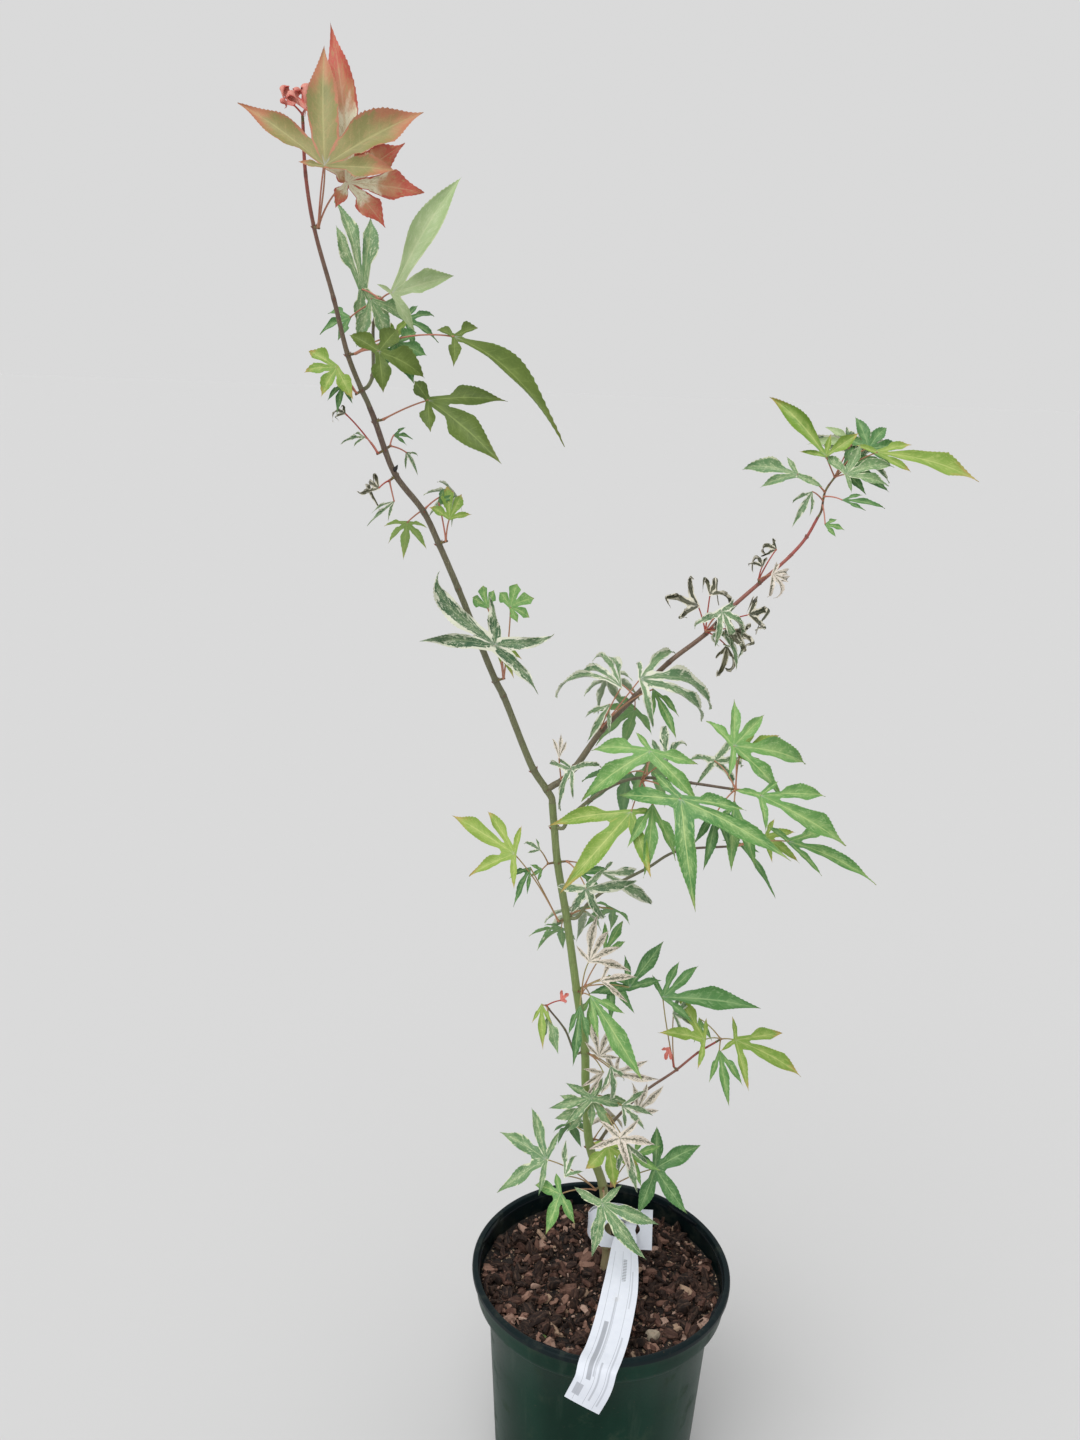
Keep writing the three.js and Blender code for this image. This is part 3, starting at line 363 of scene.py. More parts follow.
masses = {
    "crown_tip_curls": mass("leader_upper", 6,
        leaf("redCurl", (-185, -98, 930), middle=(98, 30)),
        leaf("redCurl", (-193, -90, 933), middle=(125, 22)),
    ),
    "crown_top_leaves": mass("leader_upper", 4,
        leaf("young", (-174, -112, 902), (174, 14), (139, 57, 0.13), (94, 69, 0.13), (36, 55, 0.2),
            (8, 34, 0.22), up=20),
        leaf("blush", (-165, -98, 897), (95, 77, 0.1), (40, 36, 0.2), (2, 36, 0.26), (-48, 30, 0.26),
            (-120, 14, 0.3), up=15, droop=0.02),
        more("blush", (-178, -92, 905), (70, 30, 0.2), (20, 26, 0.24), (-20, 22, 0.26), up=20),
    ),
    "side_shoot_leaves": mass("leader_side_shoot", 4,
        leaf("pale", (-150, -42, 849), (71, 94, 0.1), (24, 40, 0.22), (-60, 24), (150, 9), up=20),
        leaf("flecked", (-170, -18, 852), (118, 46, 0.13, -14), (101, 66, 0.1, 6), (86, 52, 0.12, 8),
            (-45, 26, 0.22), (-92, 20, 0.2), up=15, twist=60),
        leaf("dark", (-145, -16, 837), middle=(-20, 20)),
        more("flecked", (-163, -34, 846), (-20, 24, 0.22), (-60, 26, 0.2), (-100, 22, 0.2), up=25),
        more("dark", (-176, -26, 836), (150, 14, 0.26), (200, 16, 0.26), (245, 12, 0.26)),
    ),
    "upper_node_leaves": mass("leader_upper", 2,
        leaf("olive", (-113, -64, 826), (150, 12, 0.3), (30, 16, 0.34), (-12, 74, 0.15), (-85, 13, 0.34),
            droop=0.5),
        leaf("olive", (-154, -66, 817), (150, 18, 0.3), (60, 18, 0.36), (-20, 28, 0.3), (-75, 20, 0.32)),
        more("dark", (-146, -54, 822), (-10, 18, 0.32), (40, 15, 0.34), (-60, 20, 0.3), (-120, 14, 0.3)),
        more("lime", (-150, -36, 826), (60, 14), (30, 12), (100, 10)),
    ),
    "leader_left_leaf": mass("leader_upper", 1,
        leaf("lime", (-179, -55, 808), (150, 20, 0.26), (176, 20, 0.22), (-120, 15, 0.3), (-62, 19, 0.26)),
        more("dark", (-176, -50, 800), (-100, 16), (-140, 12), (-60, 12)),
    ),
    "upper_fork_leaf": mass("leader_lower", 10,
        leaf("olive", (-128, -52, 792), (130, 16, 0.3), (8, 43, 0.17), (-34, 46, 0.2), (-88, 16, 0.34)),
    ),
    "leader_curl_left": mass("leader_lower", 9,
        leaf("variegated", (-165, -43, 770), (150, 9), (178, 13), (-150, 8)),
        more("dead", (-176, -46, 783), middle=(150, 12)),
    ),
    "leader_curl_right": mass("leader_lower", 9,
        leaf("dark", (-151, -24, 771), (40, 8), (8, 12), (-30, 9)),
        leaf("variegated", (-144, -20, 761), (0, 8), (-46, 12), (-90, 8)),
    ),
    "leader_withered_leaf": mass("leader_lower", 8,
        leaf("dead", (-158, -38, 741), middle=(152, 22)),
        more("variegated", (-150, -30, 733), (190, 12), (220, 15), (255, 9)),
    ),
    "leader_fan_leaf": mass("leader_lower", 6,
        leaf("lime", (-117, -30, 724), (140, 14, 0.25), (100, 21, 0.25), (62, 19, 0.25), (15, 13)),
        more("dark", (-124, -26, 733), (70, 11), (30, 13), (-10, 9)),
    ),
    "leader_variegated_leaves": mass("leader_lower", 4,
        leaf("variegated", (-88, -38, 650), (176, 50, 0.13, 24), (149, 62, 0.1, -82), (88, 33, 0.13, 10),
            (6, 38, 0.11, 46), (-36, 38, 0.11, -24), up=8, twist=90, curl=-28, sway=0.06, wave=2.2),
        leaf("green", (-80, -6, 668), (128, 13, 0.4), (78, 17, 0.44), (30, 18, 0.44), (-14, 14, 0.4),
            (-62, 10, 0.36), turn=0),
        more("green", (-94, -12, 668), (156, 12, 0.4), (112, 14, 0.42), (70, 12, 0.4)),
        more("lime", (-84, -26, 648), (-30, 14, 0.16), (-62, 18, 0.16), (-100, 10, 0.2)),
    ),
    "fork_white_leaf": mass("right_bough", 1,
        leaf("variegated", (-38, -16, 566), (172, 21, 0.1), (148, 14), (21, 23, 0.1), (-88, 16, 0.1),
            (-120, 26, 0.1)),
        more("pinkWhite", (-46, -12, 572), (110, 13), (80, 15), (60, 11)),
    ),
    "bough_variegated_leaves": mass("right_bough", 3,
        leaf("variegated", (-8, -8, 619), (152, 48), (140, 36), (116, 36), (96, 32), droop=0.5),
        leaf("variegated", (4, -4, 624), (92, 16), (46, 34), (14, 56), (-4, 52), (-68, 26), droop=0.4),
        more("variegated", (-14, 6, 604), (200, 18), (230, 24), (262, 16)),
        more("green", (14, 10, 614), (-30, 22), (-60, 26), (-95, 16)),
    ),
    "bough_withered_leaves": mass("right_bough", 6,
        leaf("dead", (41, 22, 668), middle=(160, 36), curl=150),
        leaf("dead", (56, 14, 668), middle=(-70, 30)),
        leaf("dead", (66, 16, 654), middle=(-25, 26)),
        more("dead", (48, 20, 676), middle=(60, 26)),
        more("dead", (74, 18, 664), middle=(10, 30)),
        more("dead", (60, 12, 644), middle=(-100, 22)),
        more("variegated", (55, 10, 667), (-20, 24, 0.15, -50), (-62, 24, 0.15, 40), (-105, 20, 0.15),
            (25, 20, 0.15, 60), (195, 20, 0.15, -60), twist=120, curl=130, sway=0.24),
        more("variegated", (57, 6, 653), (-15, 22, 0.14, 50), (-50, 20, 0.14, -60), (40, 14, 0.15, 60),
            (180, 15, 0.15, -40), twist=120, curl=150, sway=0.24),
    ),
    "bough_white_curls": mass("right_bough", 8,
        leaf("pinkWhite", (88, 24, 690), (60, 13, 0.14, -70), (10, 20, 0.12, 30), (-14, 24, 0.12, 46),
            (-48, 18, 0.14, -60), (-100, 15, 0.14, 70), twist=90, curl=130, sway=0.3),
        leaf("dead", (92, 40, 704), middle=(150, 16)),
        more("dead", (82, 30, 694), middle=(110, 15)),
    ),
    "bough_tip_leaves": mass("right_bough", 11,
        leaf("lime", (119, 42, 765), (168, 16), (123, 60, 0.13, 10), (84, 14), (34, 24, 0.2), up=12, fold=46),
        leaf("flecked", (100, 34, 753), (118, 13), (164, 37, 0.18, 14), (-168, 24), (-20, 18), at=0.6, up=20),
        leaf("lime", (153, 46, 768), (160, 14), (20, 26), (0, 70), (-26, 24)),
        leaf("variegated", (144, 68, 765), (150, 36, 0.17), (104, 22, 0.2), (62, 24, 0.2), (24, 32, 0.18),
            (-18, 28, 0.18), (-62, 18), curl=30),
        leaf("dark", (130, 32, 738), (22, 14, 0.12), (0, 30, 0.1), (-22, 16, 0.12), at=0.5),
        leaf("green", (121, 34, 722), (28, 8, 0.24), (-6, 12, 0.24), (-48, 9, 0.24), at=0.3),
        more("dark", (134, 50, 756), (70, 20, 0.2), (30, 26, 0.18), (-12, 26, 0.18), (-48, 18, 0.2),
            (140, 16)),
        more("flecked", (132, 36, 754), (58, 24, 0.17), (22, 38, 0.15), (-4, 30, 0.15), (-66, 12),
            (130, 20, 0.18), up=24),
        more("dark", (150, 58, 770), (150, 22, 0.18), (108, 26, 0.18), (60, 24, 0.2), (12, 26, 0.18),
            (-30, 18), up=24),
        more("pale", (142, 70, 772), (170, 30, 0.12), (140, 22, 0.15), (20, 18, 0.16), up=30),
        more("variegated", (112, 40, 742), (200, 16), (235, 20), (265, 12), at=0.4),
        twig=[(122, 47, 742), (128, 48, 752)],
    ),
    "middle_front_leaves": mass("middle_branch", 4,
        leaf("green", (9, -46, 589), (126, 14), (180, 38), (-148, 48), (-42, 38), (-4, 28)),
        leaf("lime", (-1, -54, 552), (-175, 53, 0.11), (-131, 57, 0.115), (-74, 36, 0.13), (12, 15)),
        leaf("green", (27, -68, 566), (142, 23), (-176, 40, 0.15), (-86, 52, 0.135), (-14, 60, 0.13), (4, 36)),
        more("variegated", (20, -40, 580), (60, 22), (95, 26), (130, 18)),
        more("green", (12, -52, 556), (-60, 30), (-95, 34), (-130, 22)),
    ),
    "middle_tip_leaves": mass("middle_branch", 6,
        leaf("green", (60, -46, 594), (130, 22), (80, 25), (34, 29), (-12, 54), (-34, 44), (-100, 15)),
        leaf("green", (76, -62, 568), (160, 18), (36, 15), (2, 43), (-20, 64), (-84, 18)),
        leaf("variegated", (54, -14, 574), (160, 20), (45, 22), (5, 28), (-35, 24), (-140, 18)),
        leaf("dark", (50, -62, 556), (-20, 15), (-60, 20), (-100, 26), (-142, 18)),
        more("lime", (66, -34, 584), (100, 16), (60, 24), (25, 30), (-15, 22)),
        more("green", (62, -52, 560), (-100, 30), (-65, 34), (-130, 20)),
    ),
    "lower_tip_leaves": mass("lower_branch", 5,
        leaf("green", (101, -38, 530), (150, 14), (12, 28), (-8, 62, 0.09), (-42, 27, 0.1)),
        leaf("dark", (76, -16, 518), (170, 14, 0.1), (-20, 12, 0.1), (-50, 30, 0.08)),
        more("lime", (88, -26, 528), (60, 12), (20, 20), (-25, 22), (-70, 12)),
    ),
    "trunk_left_leaf": mass("trunk", 8,
        leaf("lime", (-73, -10, 504), (80, 16), (130, 33), (157, 53), (-165, 32), (-88, 16)),
        more("dark", (-62, -4, 492), (200, 15), (235, 20), (265, 12)),
    ),
    "trunk_upper_leaves": mass("trunk", 9,
        leaf("variegated", (-25, -24, 487), (180, 25), (52, 21), (17, 38), (-64, 24), (-122, 23), up=12),
        leaf("variegated", (-13, 28, 477), (40, 15), (-4, 34), (-29, 54)),
        more("dark", (-30, -10, 492), (40, 16), (5, 22), (-30, 18)),
    ),
    "trunk_upper_buds": mass("trunk", 9,
        leaf("variegated", (-56, -4, 505), (110, 9), (150, 14), (-170, 9)),
        leaf("green", (-54, 6, 487), (160, 9), (-155, 10), (-110, 8)),
    ),
    "trunk_white_leaves": mass("trunk", 7,
        leaf("pinkWhite", (-20, -10, 428), (142, 13), (89, 27), (54, 25), (27, 24), (2, 31)),
        leaf("green", (-18, -14, 404), (-12, 22), (-43, 49), (-80, 20)),
        more("pinkWhite", (-12, -18, 418), (-20, 20), (20, 24), (60, 16)),
    ),
    "trunk_middle_leaves": mass("trunk", 7,
        leaf("green", (-8, 20, 420), (88, 17), (54, 26), (20, 18)),
        leaf("dark", (10, 12, 398), (175, 29), (102, 18), (45, 37), (10, 24)),
        leaf("green", (-16, 24, 383), (-60, 22), (-88, 35), (-118, 18), up=5),
        more("dark", (-25, -16, 398), (-70, 20, 0.16), (-95, 27, 0.16), (-125, 16, 0.18)),
        more("dark", (-4, 16, 404), (-10, 20), (-45, 26), (-85, 22)),
    ),
    "left_twig_leaf": mass("left_twig", 2,
        leaf("lime", (-51, -6, 392), (-55, 12), (-92, 20), (-130, 11)),
        leaf("redCurl", (-38, -8, 397), middle=(40, 11)),
        more("flecked", (-46, -8, 385), (-70, 16, 0.26), (-110, 13, 0.3)),
    ),
    "trunk_low_white_leaves": mass("trunk", 6,
        leaf("pinkWhite", (-10, -10, 356), (140, 13), (101, 25), (72, 22), (46, 25), (12, 14)),
        leaf("pinkWhite", (2, -12, 345), (122, 14), (76, 14), (31, 26), (5, 30), (-130, 19)),
        more("variegated", (-2, -16, 352), (-40, 18), (-75, 24), (-115, 16)),
        more("pinkWhite", (-6, -4, 340), (200, 16), (235, 20), (160, 14)),
    ),
    "trunk_low_variegated_leaves": mass("trunk", 5,
        leaf("flecked", (-14, -14, 326), (152, 20), (-178, 27), (-148, 21), (62, 13), (-12, 29)),
        leaf("pinkWhite", (20, 2, 306), (152, 15), (92, 19), (62, 22), (35, 25), (-8, 19)),
        leaf("pinkWhite", (6, -28, 304), (135, 19), (-170, 21), (-67, 22), (-5, 27), (35, 20)),
        more("flecked", (-17, -10, 315), (150, 22, 0.2), (190, 24, 0.18), (230, 18, 0.2), (100, 14, 0.2)),
        more("flecked", (-13, -8, 320), (60, 16, 0.2), (10, 26, 0.18), (-40, 22, 0.2), (-90, 14, 0.2)),
        more("variegated", (8, -10, 318), (30, 20), (0, 24), (-35, 22), (-75, 14)),
        more("variegated", (12, -20, 294), (-30, 20), (-75, 26), (-120, 20)),
    ),
    "trunk_low_green_leaves": mass("trunk", 3,
        leaf("lime", (0, -12, 286), (172, 12, 0.24), (-132, 23, 0.24), (-74, 28, 0.2), (-25, 26, 0.2),
            (22, 13, 0.24), up=20),
        leaf("dark", (36, 4, 258), (158, 17, 0.24), (84, 25, 0.22), (32, 36, 0.18), (-45, 34, 0.18),
            (-118, 28, 0.2)),
        more("green", (18, -2, 272), (60, 16), (20, 24), (-20, 22), (-70, 16)),
    ),
    "low_branch_middle_leaves": mass("low_branch", 3,
        leaf("dark", (35, 20, 387), (125, 14), (64, 26), (38, 34), (13, 64), (-22, 24)),
        leaf("redCurl", (42, 20, 347), middle=(-115, 11)),
        more("variegated", (44, 24, 372), (70, 16), (25, 24), (-20, 24), (-60, 16)),
    ),
    "low_branch_tip_leaves": mass("low_branch", 5,
        leaf("lime", (92, 34, 347), (95, 12), (6, 38), (-16, 58), (-68, 28), (-160, 12)),
        leaf("lime", (66, 14, 358), (82, 12), (128, 36), (170, 33), (-108, 14)),
        leaf("green", (68, 58, 350), (-50, 14), (-80, 18), (-112, 12)),
        more("green", (80, 30, 340), (-40, 24), (-80, 28), (-120, 18)),
    ),
    "low_left_leaves": mass("trunk", 3,
        leaf("flecked", (-44, -8, 271), (52, 18), (116, 27), (155, 40), (-153, 37), (-103, 17)),
        leaf("green", (-33, -22, 253), (112, 10, 0.3), (169, 20, 0.26), (-120, 20, 0.28), (-43, 16, 0.3)),
        more("variegated", (-30, -14, 262), (60, 16), (95, 18), (20, 14)),
    ),
    "front_foot_leaf": mass("trunk", 3,
        leaf("flecked", (-4, -36, 257), (168, 22), (-104, 34), (-40, 36), (2, 36), (46, 18)),
    ),
    "middle_back_leaves": mass("middle_branch", 4,
        grown=dict(count=4, kinds=("green", "dark"), fan=(-55, 55), stalk=36, rise=-6, size=36), skipped=(0, 3),
    ),
    "bough_back_leaves": mass("right_bough", 4,
        grown=dict(count=2, kinds=("variegated", "green"), fan=(-50, 10), stalk=24, rise=-6, size=28),
    ),
    "leader_back_leaves": mass("leader_lower", 7,
        grown=dict(count=2, kinds=("lime", "variegated"), fan=(-40, 40), stalk=22, rise=0, size=22),
    ),
    "trunk_back_leaves": mass("trunk", 8,
        grown=dict(count=3, kinds=("green", "variegated"), fan=(-10, 60), stalk=32, rise=-16, size=32),
    ),
    "trunk_low_back_leaves": mass("trunk", 4,
        grown=dict(count=3, kinds=("dark", "pinkWhite", "green"), fan=(-20, 70), stalk=30, rise=4, size=28),
    ),
}
jointSwell, jointLength, limbLead, clearGap, flareFade = 0.45, 2.5, 3.0, 0.3, 9


class Course:
    # centripetal spline through the points, walked by its length
    def __init__(self, points, between=60):
        points = [np.array(p, float) for p in points]
        padded = [2 * points[0] - points[1]] + points + [2 * points[-1] - points[-2]]
        samples = [points[0]]
        for i in range(1, len(padded) - 2):
            samples += self.stretchOf(padded[i - 1 : i + 3], between)
        self.samples = np.array(samples)
        steps = np.linalg.norm(np.diff(self.samples, axis=0), axis=1)
        self.lengths = np.concatenate([[0], np.cumsum(steps)])
        self.length = self.lengths[-1]
        self.shares = [self.lengths[i * between] / self.length for i in range(len(points))]

    def stretchOf(self, four, between):
        gaps = [max(np.linalg.norm(four[k + 1] - four[k]) ** 0.5, 1e-4) for k in range(3)]
        a, b, c, d = four
        first = (b - a) / gaps[0] - (c - a) / (gaps[0] + gaps[1]) + (c - b) / gaps[1]
        last = (c - b) / gaps[1] - (d - b) / (gaps[1] + gaps[2]) + (d - c) / gaps[2]
        first, last = first * gaps[1], last * gaps[1]
        square, cube = -3 * b + 3 * c - 2 * first - last, 2 * b - 2 * c + first + last
        return [b + first * t + square * t**2 + cube * t**3 for t in sharesTo(between)[1:]]

    def at(self, share):
        far = share * self.length
        return np.array([np.interp(far, self.lengths, self.samples[:, k]) for k in range(3)])

    def way(self, share):
        step = 0.4 / self.length
        return unit(self.at(min(1, share + step)) - self.at(max(0, share - step)))


def seatOn(name, joint, target):
    # where something that grows from a limb's joint towards a target starts, and the way it starts
    limb = limbs[name]
    course = limb["course"]
    share = limb["shares"][joint]
    centre, way = course.at(share), course.way(share)
    if joint == len(limb["shares"]) - 1:
        return centre + way * clearGap, way
    out = np.array(target, float) - centre
    out = unit(out - way * out.dot(way))
    return centre + out * (limb["radiusAt"](share) + clearGap), out


def layLimb(name):
    limb = limbs[name]
    points = [np.array(p, float) for p in limb["through"]]
    if "from" in limb:
        start, out = seatOn(*limb["from"], points[0])
        points = [start, start + out * limbLead] + points
    course = Course(points)
    shares = list(course.shares)
    if "from" in limb:
        shares.pop(1)
    thick, thin = limb["radii"]

    def radiusAt(share):
        plain = thick + (thin - thick) * share
        flare = limb.get("flare", 0) * math.exp(-share * course.length / flareFade)
        swell = jointSwell * max(0, 1 - nearestJoint(limb, share) / jointLength)
        return plain + flare + swell * plain / limbs["trunk"]["radii"][0]

    limb.update(course=course, shares=shares, radiusAt=radiusAt)


def nearestJoint(limb, share):
    return min(abs(joint - share) * limb["course"].length for joint in limb["shares"][1:-1])


def ringFrames(course, shares):
    side = np.array([0, 1, 0.0])
    if abs(course.way(0)[1]) > 0.9:
        side = np.array([1, 0, 0.0])
    for share in shares:
        way = course.way(share)
        side = unit(side - way * side.dot(way))
        yield course.at(share), side, np.cross(way, side)


def tubeInto(store, course, shares, radiusAt, sides, relief=None, tone=(0, 0, 0, 1), sunk=0.0):
    # closed tube with round ends; its map runs round and along
    corners, faces = store["corners"], store["faces"]
    first = len(corners)
    frames = list(ringFrames(course, shares))
    if sunk:
        centre, side, across = frames[0]
        frames[0] = (centre - course.way(0) * sunk, side, across)
    for (centre, side, across), share in zip(frames, shares):
        for k in range(sides):
            turn = 2 * math.pi * k / sides
            radius = radiusAt(share)
            if relief:
                radius += relief(share, turn)
            spot = centre + (side * math.cos(turn) + across * math.sin(turn)) * radius
            corners.append(spot)
    corners += [frames[0][0], frames[-1][0]]
    low, high = len(corners) - 2, len(corners) - 1
    faces += quadsRound(first, len(frames) - 1, sides)
    for here, there in zip(shares, shares[1:]):
        for k in range(sides):
            u, nextU = k / sides, (k + 1) / sides
            store["map"] += [(u, here), (nextU, here), (nextU, there), (u, there)]
            store["tone"] += [tone] * 4
    last = first + (len(frames) - 1) * sides
    for k in range(sides):
        nextK = (k + 1) % sides
        faces += [(low, first + nextK, first + k), (high, last + k, last + nextK)]
        store["map"] += [(k / sides, shares[0])] * 3 + [(k / sides, shares[-1])] * 3
        store["tone"] += [tone] * 6


for limbName in limbs:
    layLimb(limbName)


# bark: fresh growth with streaks, pores and leaf scars
barkColours = ("foot colour", "middle colour", "tip colour", "streak colour", "blotch colour")


def barkGroup():
    n, given, out = newGroup("freshBark", barkColours, {"blotches": 0.4})
    along = n.axes(n.uv("stemMap"))[1]
    base = n.mix(n.step(along, 0.02, 0.38), given["foot colour"], given["middle colour"])
    base = n.mix(n.step(along, 0.45, 1.0), base, given["tip colour"])
    streaks = n.grit(0.46, 0.66, 1.0, 4.0, (1500, 1500, 90))
    base = n.mix(n.times(streaks, 0.4), base, given["streak colour"])
    blotch = n.times(n.grit(0.52, 0.68, 130.0, 5.0), given["blotches"])
    base = n.mix(blotch, base, given["blotch colour"])
    cells = n.add("TexVoronoi", {"Vector": n.place((900, 900, 420)), "Scale": 1.0, "Randomness": 1.0}).outputs
    pores = n.times(n.step(cells["Distance"], 0.24, 0.12), n.step(n.channels(cells["Color"])[0], 0.62, 0.66))
    base = n.mix(n.times(pores, 0.55), base, sRgb(178, 168, 132))
    scar = n.tones("stemTone")[0]
    base = n.mix(n.times(scar, 0.6), base, given["blotch colour"])
    height = n.math("ADD", n.times(streaks, 0.35), n.times(pores, 0.6))
    height = n.math("ADD", height, n.times(n.noise(900.0, 3.0), 0.3))
    return n.giveOut(out, base, n.timesPlus(blotch, 0.2, 0.5), height)


barkPattern = barkGroup()
# foot, middle, tip, streaks and blotches, and how many blotches
barkLooks = {
    "green_bark": ((152, 136, 106), (124, 148, 78), (116, 130, 80), (152, 168, 108), (112, 118, 74), 0.3),
    "olive_bark": ((112, 118, 80), (104, 104, 78), (98, 76, 68), (144, 140, 112), (84, 74, 60), 0.45),
    "red_bark": ((108, 106, 82), (112, 92, 76), (170, 78, 72), (150, 122, 104), (82, 58, 50), 0.45),
}
barks = {}
for name, (*tints, blotches) in barkLooks.items():
    values = {key: sRgb(*tint) for key, tint in zip(barkColours, tints)}
    barks[name] = groupMaterial(name, barkPattern, {**values, "blotches": blotches}, 0.5, 0.0002)
barkOf = {
    "trunk": "green_bark", "right_bough": "red_bark", "leader_upper": "red_bark", "low_branch": "red_bark",
}
stemShape = {
    "ringStep": 1.6, "trunkSides": 20, "sides": 14, "sunk": 1.5, "smooth": 60,
    "ridge": 0.16, "ridgeAlong": 0.144, "ridgeRound": 1.98, "scar": 0.35, "scarLength": 1.6, "inset": 0.06,
}


def scarNear(limb, share):
    return max(0.0, 1 - nearestJoint(limb, share) / stemShape["scarLength"])


def makeStem(name):
    limb = limbs[name]
    course = limb["course"]
    count = max(8, int(course.length / stemShape["ringStep"]))
    shares = sharesTo(count)
    sides = stemShape["trunkSides"] if name == "trunk" else stemShape["sides"]
    across = stemShape["ridgeRound"]

    def relief(share, turn):
        along = share * course.length * stemShape["ridgeAlong"]
        low = noise.noise(Vector((math.cos(turn) * across + len(name), math.sin(turn) * across, along)))
        # two opposite leaf scars at each joint stand out as small ledges
        scar = scarNear(limb, share) * max(0, math.cos(2 * turn)) * stemShape["scar"]
        thick = limb["radiusAt"](share) / limbs["trunk"]["radii"][0]
        return (low * stemShape["ridge"] + scar) * thick - stemShape["inset"]

    store = newStore()
    sunk = stemShape["sunk"] if "from" in limb else 0
    tubeInto(store, course, shares, limb["radiusAt"], sides, relief, sunk=sunk)
    scars = [(scar, scar, scar, 1) for scar in (scarNear(limb, share) for share in shares)]
    tones = []
    for low, high in zip(scars, scars[1:]):
        tones += [low, low, high, high] * sides
    store["tone"][: len(tones)] = tones
    slotName = barkOf.get(name, "olive_bark")
    piece = pieceFromStore(name + "_bark", store, "stemMap", "stemTone")
    finishPiece(piece, stemShape["smooth"], barks[slotName], slotName, [name])


for limbName in limbs:
    makeStem(limbName)
print("stems", len(limbs))


# leaf kinds: lobes, shares of a lobe's length, and how the blade folds, twists and curls, in degrees
leafTraits = ("lobes", "halfWidth", "droop", "fold", "twist", "curl", "sway", "teeth", "wave", "slot")
kinds = {
    "green": (5, 0.16, 0.16, 24, 14, 20, 0.06, 0.03, 0.8, "green_leaf"),
    "dark": (5, 0.155, 0.18, 24, 16, 22, 0.06, 0.03, 0.8, "dark_leaf"),
    "lime": (5, 0.155, 0.16, 22, 14, 18, 0.06, 0.03, 0.7, "lime_leaf"),
    "olive": (5, 0.19, 0.16, 24, 12, 24, 0.05, 0.02, 0.5, "green_leaf"),
    "variegated": (5, 0.13, 0.2, 34, 60, 60, 0.14, 0.04, 1.4, "variegated_leaf"),
    "flecked": (5, 0.15, 0.18, 24, 24, 28, 0.08, 0.035, 0.9, "variegated_leaf"),
    "pale": (5, 0.16, 0.14, 34, 10, 12, 0.05, 0.02, 0.4, "pale_leaf"),
    "pinkWhite": (5, 0.125, 0.16, 28, 34, 32, 0.1, 0.03, 0.8, "white_leaf"),
    "young": (5, 0.15, 0.1, 26, 8, 6, 0.05, 0.025, 0.6, "young_leaf"),
    "blush": (5, 0.2, 0.06, 20, 26, 10, 0.08, 0.02, 1.4, "young_leaf"),
    "redCurl": (3, 0.2, 0.5, 50, 80, -230, 0.12, 0.02, 0.8, "red_leaf"),
    "dead": (3, 0.13, 0.6, 58, 150, 200, 0.26, 0.03, 1.6, "withered_leaf"),
}
kinds = {name: dict(zip(leafTraits, row)) for name, row in kinds.items()}
kinds["dead"]["eitherWay"] = True
blade = {
    "thickness": 0.26, "valley": 0.27, "smallLeaf": 20, "smallValley": 0.34, "wideGap": 60, "widest": 0.45,
    "innerRows": 5, "fewRows": 12, "mostRows": 44, "rowStep": 1.4, "columns": 4, "veinDip": 0.3, "smooth": 75,
    "leastRoot": 0.2, "leastStart": 0.35, "tipPower": 1.15, "tipFullness": 1.35,
    "freeFrom": 80, "gapShare": 0.98, "settled": 0.25, "curlPower": 1.5, "twistPower": 1.4,
    "notch": -0.6, "toothAhead": 0.4, "waves": 15, "fullWave": 40, "tileHalf": 0.45,
    # the least value, and how much a draw adds to it
    "curl": (0.45, 1.1), "fold": (0.7, 0.6), "tooth": (0.3, 1.6),
}
lobeShares = {3: (0.75, 1, 0.75), 5: (0.62, 0.88, 1, 0.88, 0.62)}
leafTurn = {"up": 38, "upVary": 14, "sideVary": 26, "lobeStep": 44, "headingVary": 5, "reachVary": 0.08}


def lobesOf(row, draw):
    kind = kinds[row["kind"]]
    listed = row.get("lobes")
    if not listed:
        shares = lobeShares[kind["lobes"]]
        heading, reach = row["middle"]
        first = heading - (len(shares) - 1) / 2 * leafTurn["lobeStep"]
        listed = [(first + i * leafTurn["lobeStep"], reach * share) for i, share in enumerate(shares)]
    lobes = []
    for heading, reach, *widthAndLean in listed:
        heading = (heading + spread(draw, leafTurn["headingVary"])) % 360
        reach *= 1 + spread(draw, leafTurn["reachVary"])
        lobes.append((heading, reach, *widthAndLean, *(kind["halfWidth"], 0)[len(widthAndLean) :]))
    return sorted(lobes)


def planeOf(row, draw):
    # the way that the leaf faces
    up = row["up"] if "up" in row else leafTurn["up"] + spread(draw, leafTurn["upVary"])
    turn = row["turn"] if "turn" in row else spread(draw, leafTurn["sideVary"])
    (level, rise), (ahead, side) = turned(up), turned(turn)
    return np.array([side * level, -ahead * level, rise])


def halfWidthAt(share, start, startWidth, width):
    # out of the valley, widest before the middle, then drawn out to a long tip
    peak = blade["widest"]
    if share < peak:
        x = max(0.0, (share - start) / (peak - start))
        return startWidth + (width - startWidth) * x * x * (3 - 2 * x)
    x = min(1.0, (share - peak) / (1 - peak))
    return width * (1 - x) ** blade["tipPower"] * (1 + blade["tipFullness"] * x * (1 - x))


def drawn(name):
    least, added = blade[name]
    return least + added * looks.random()


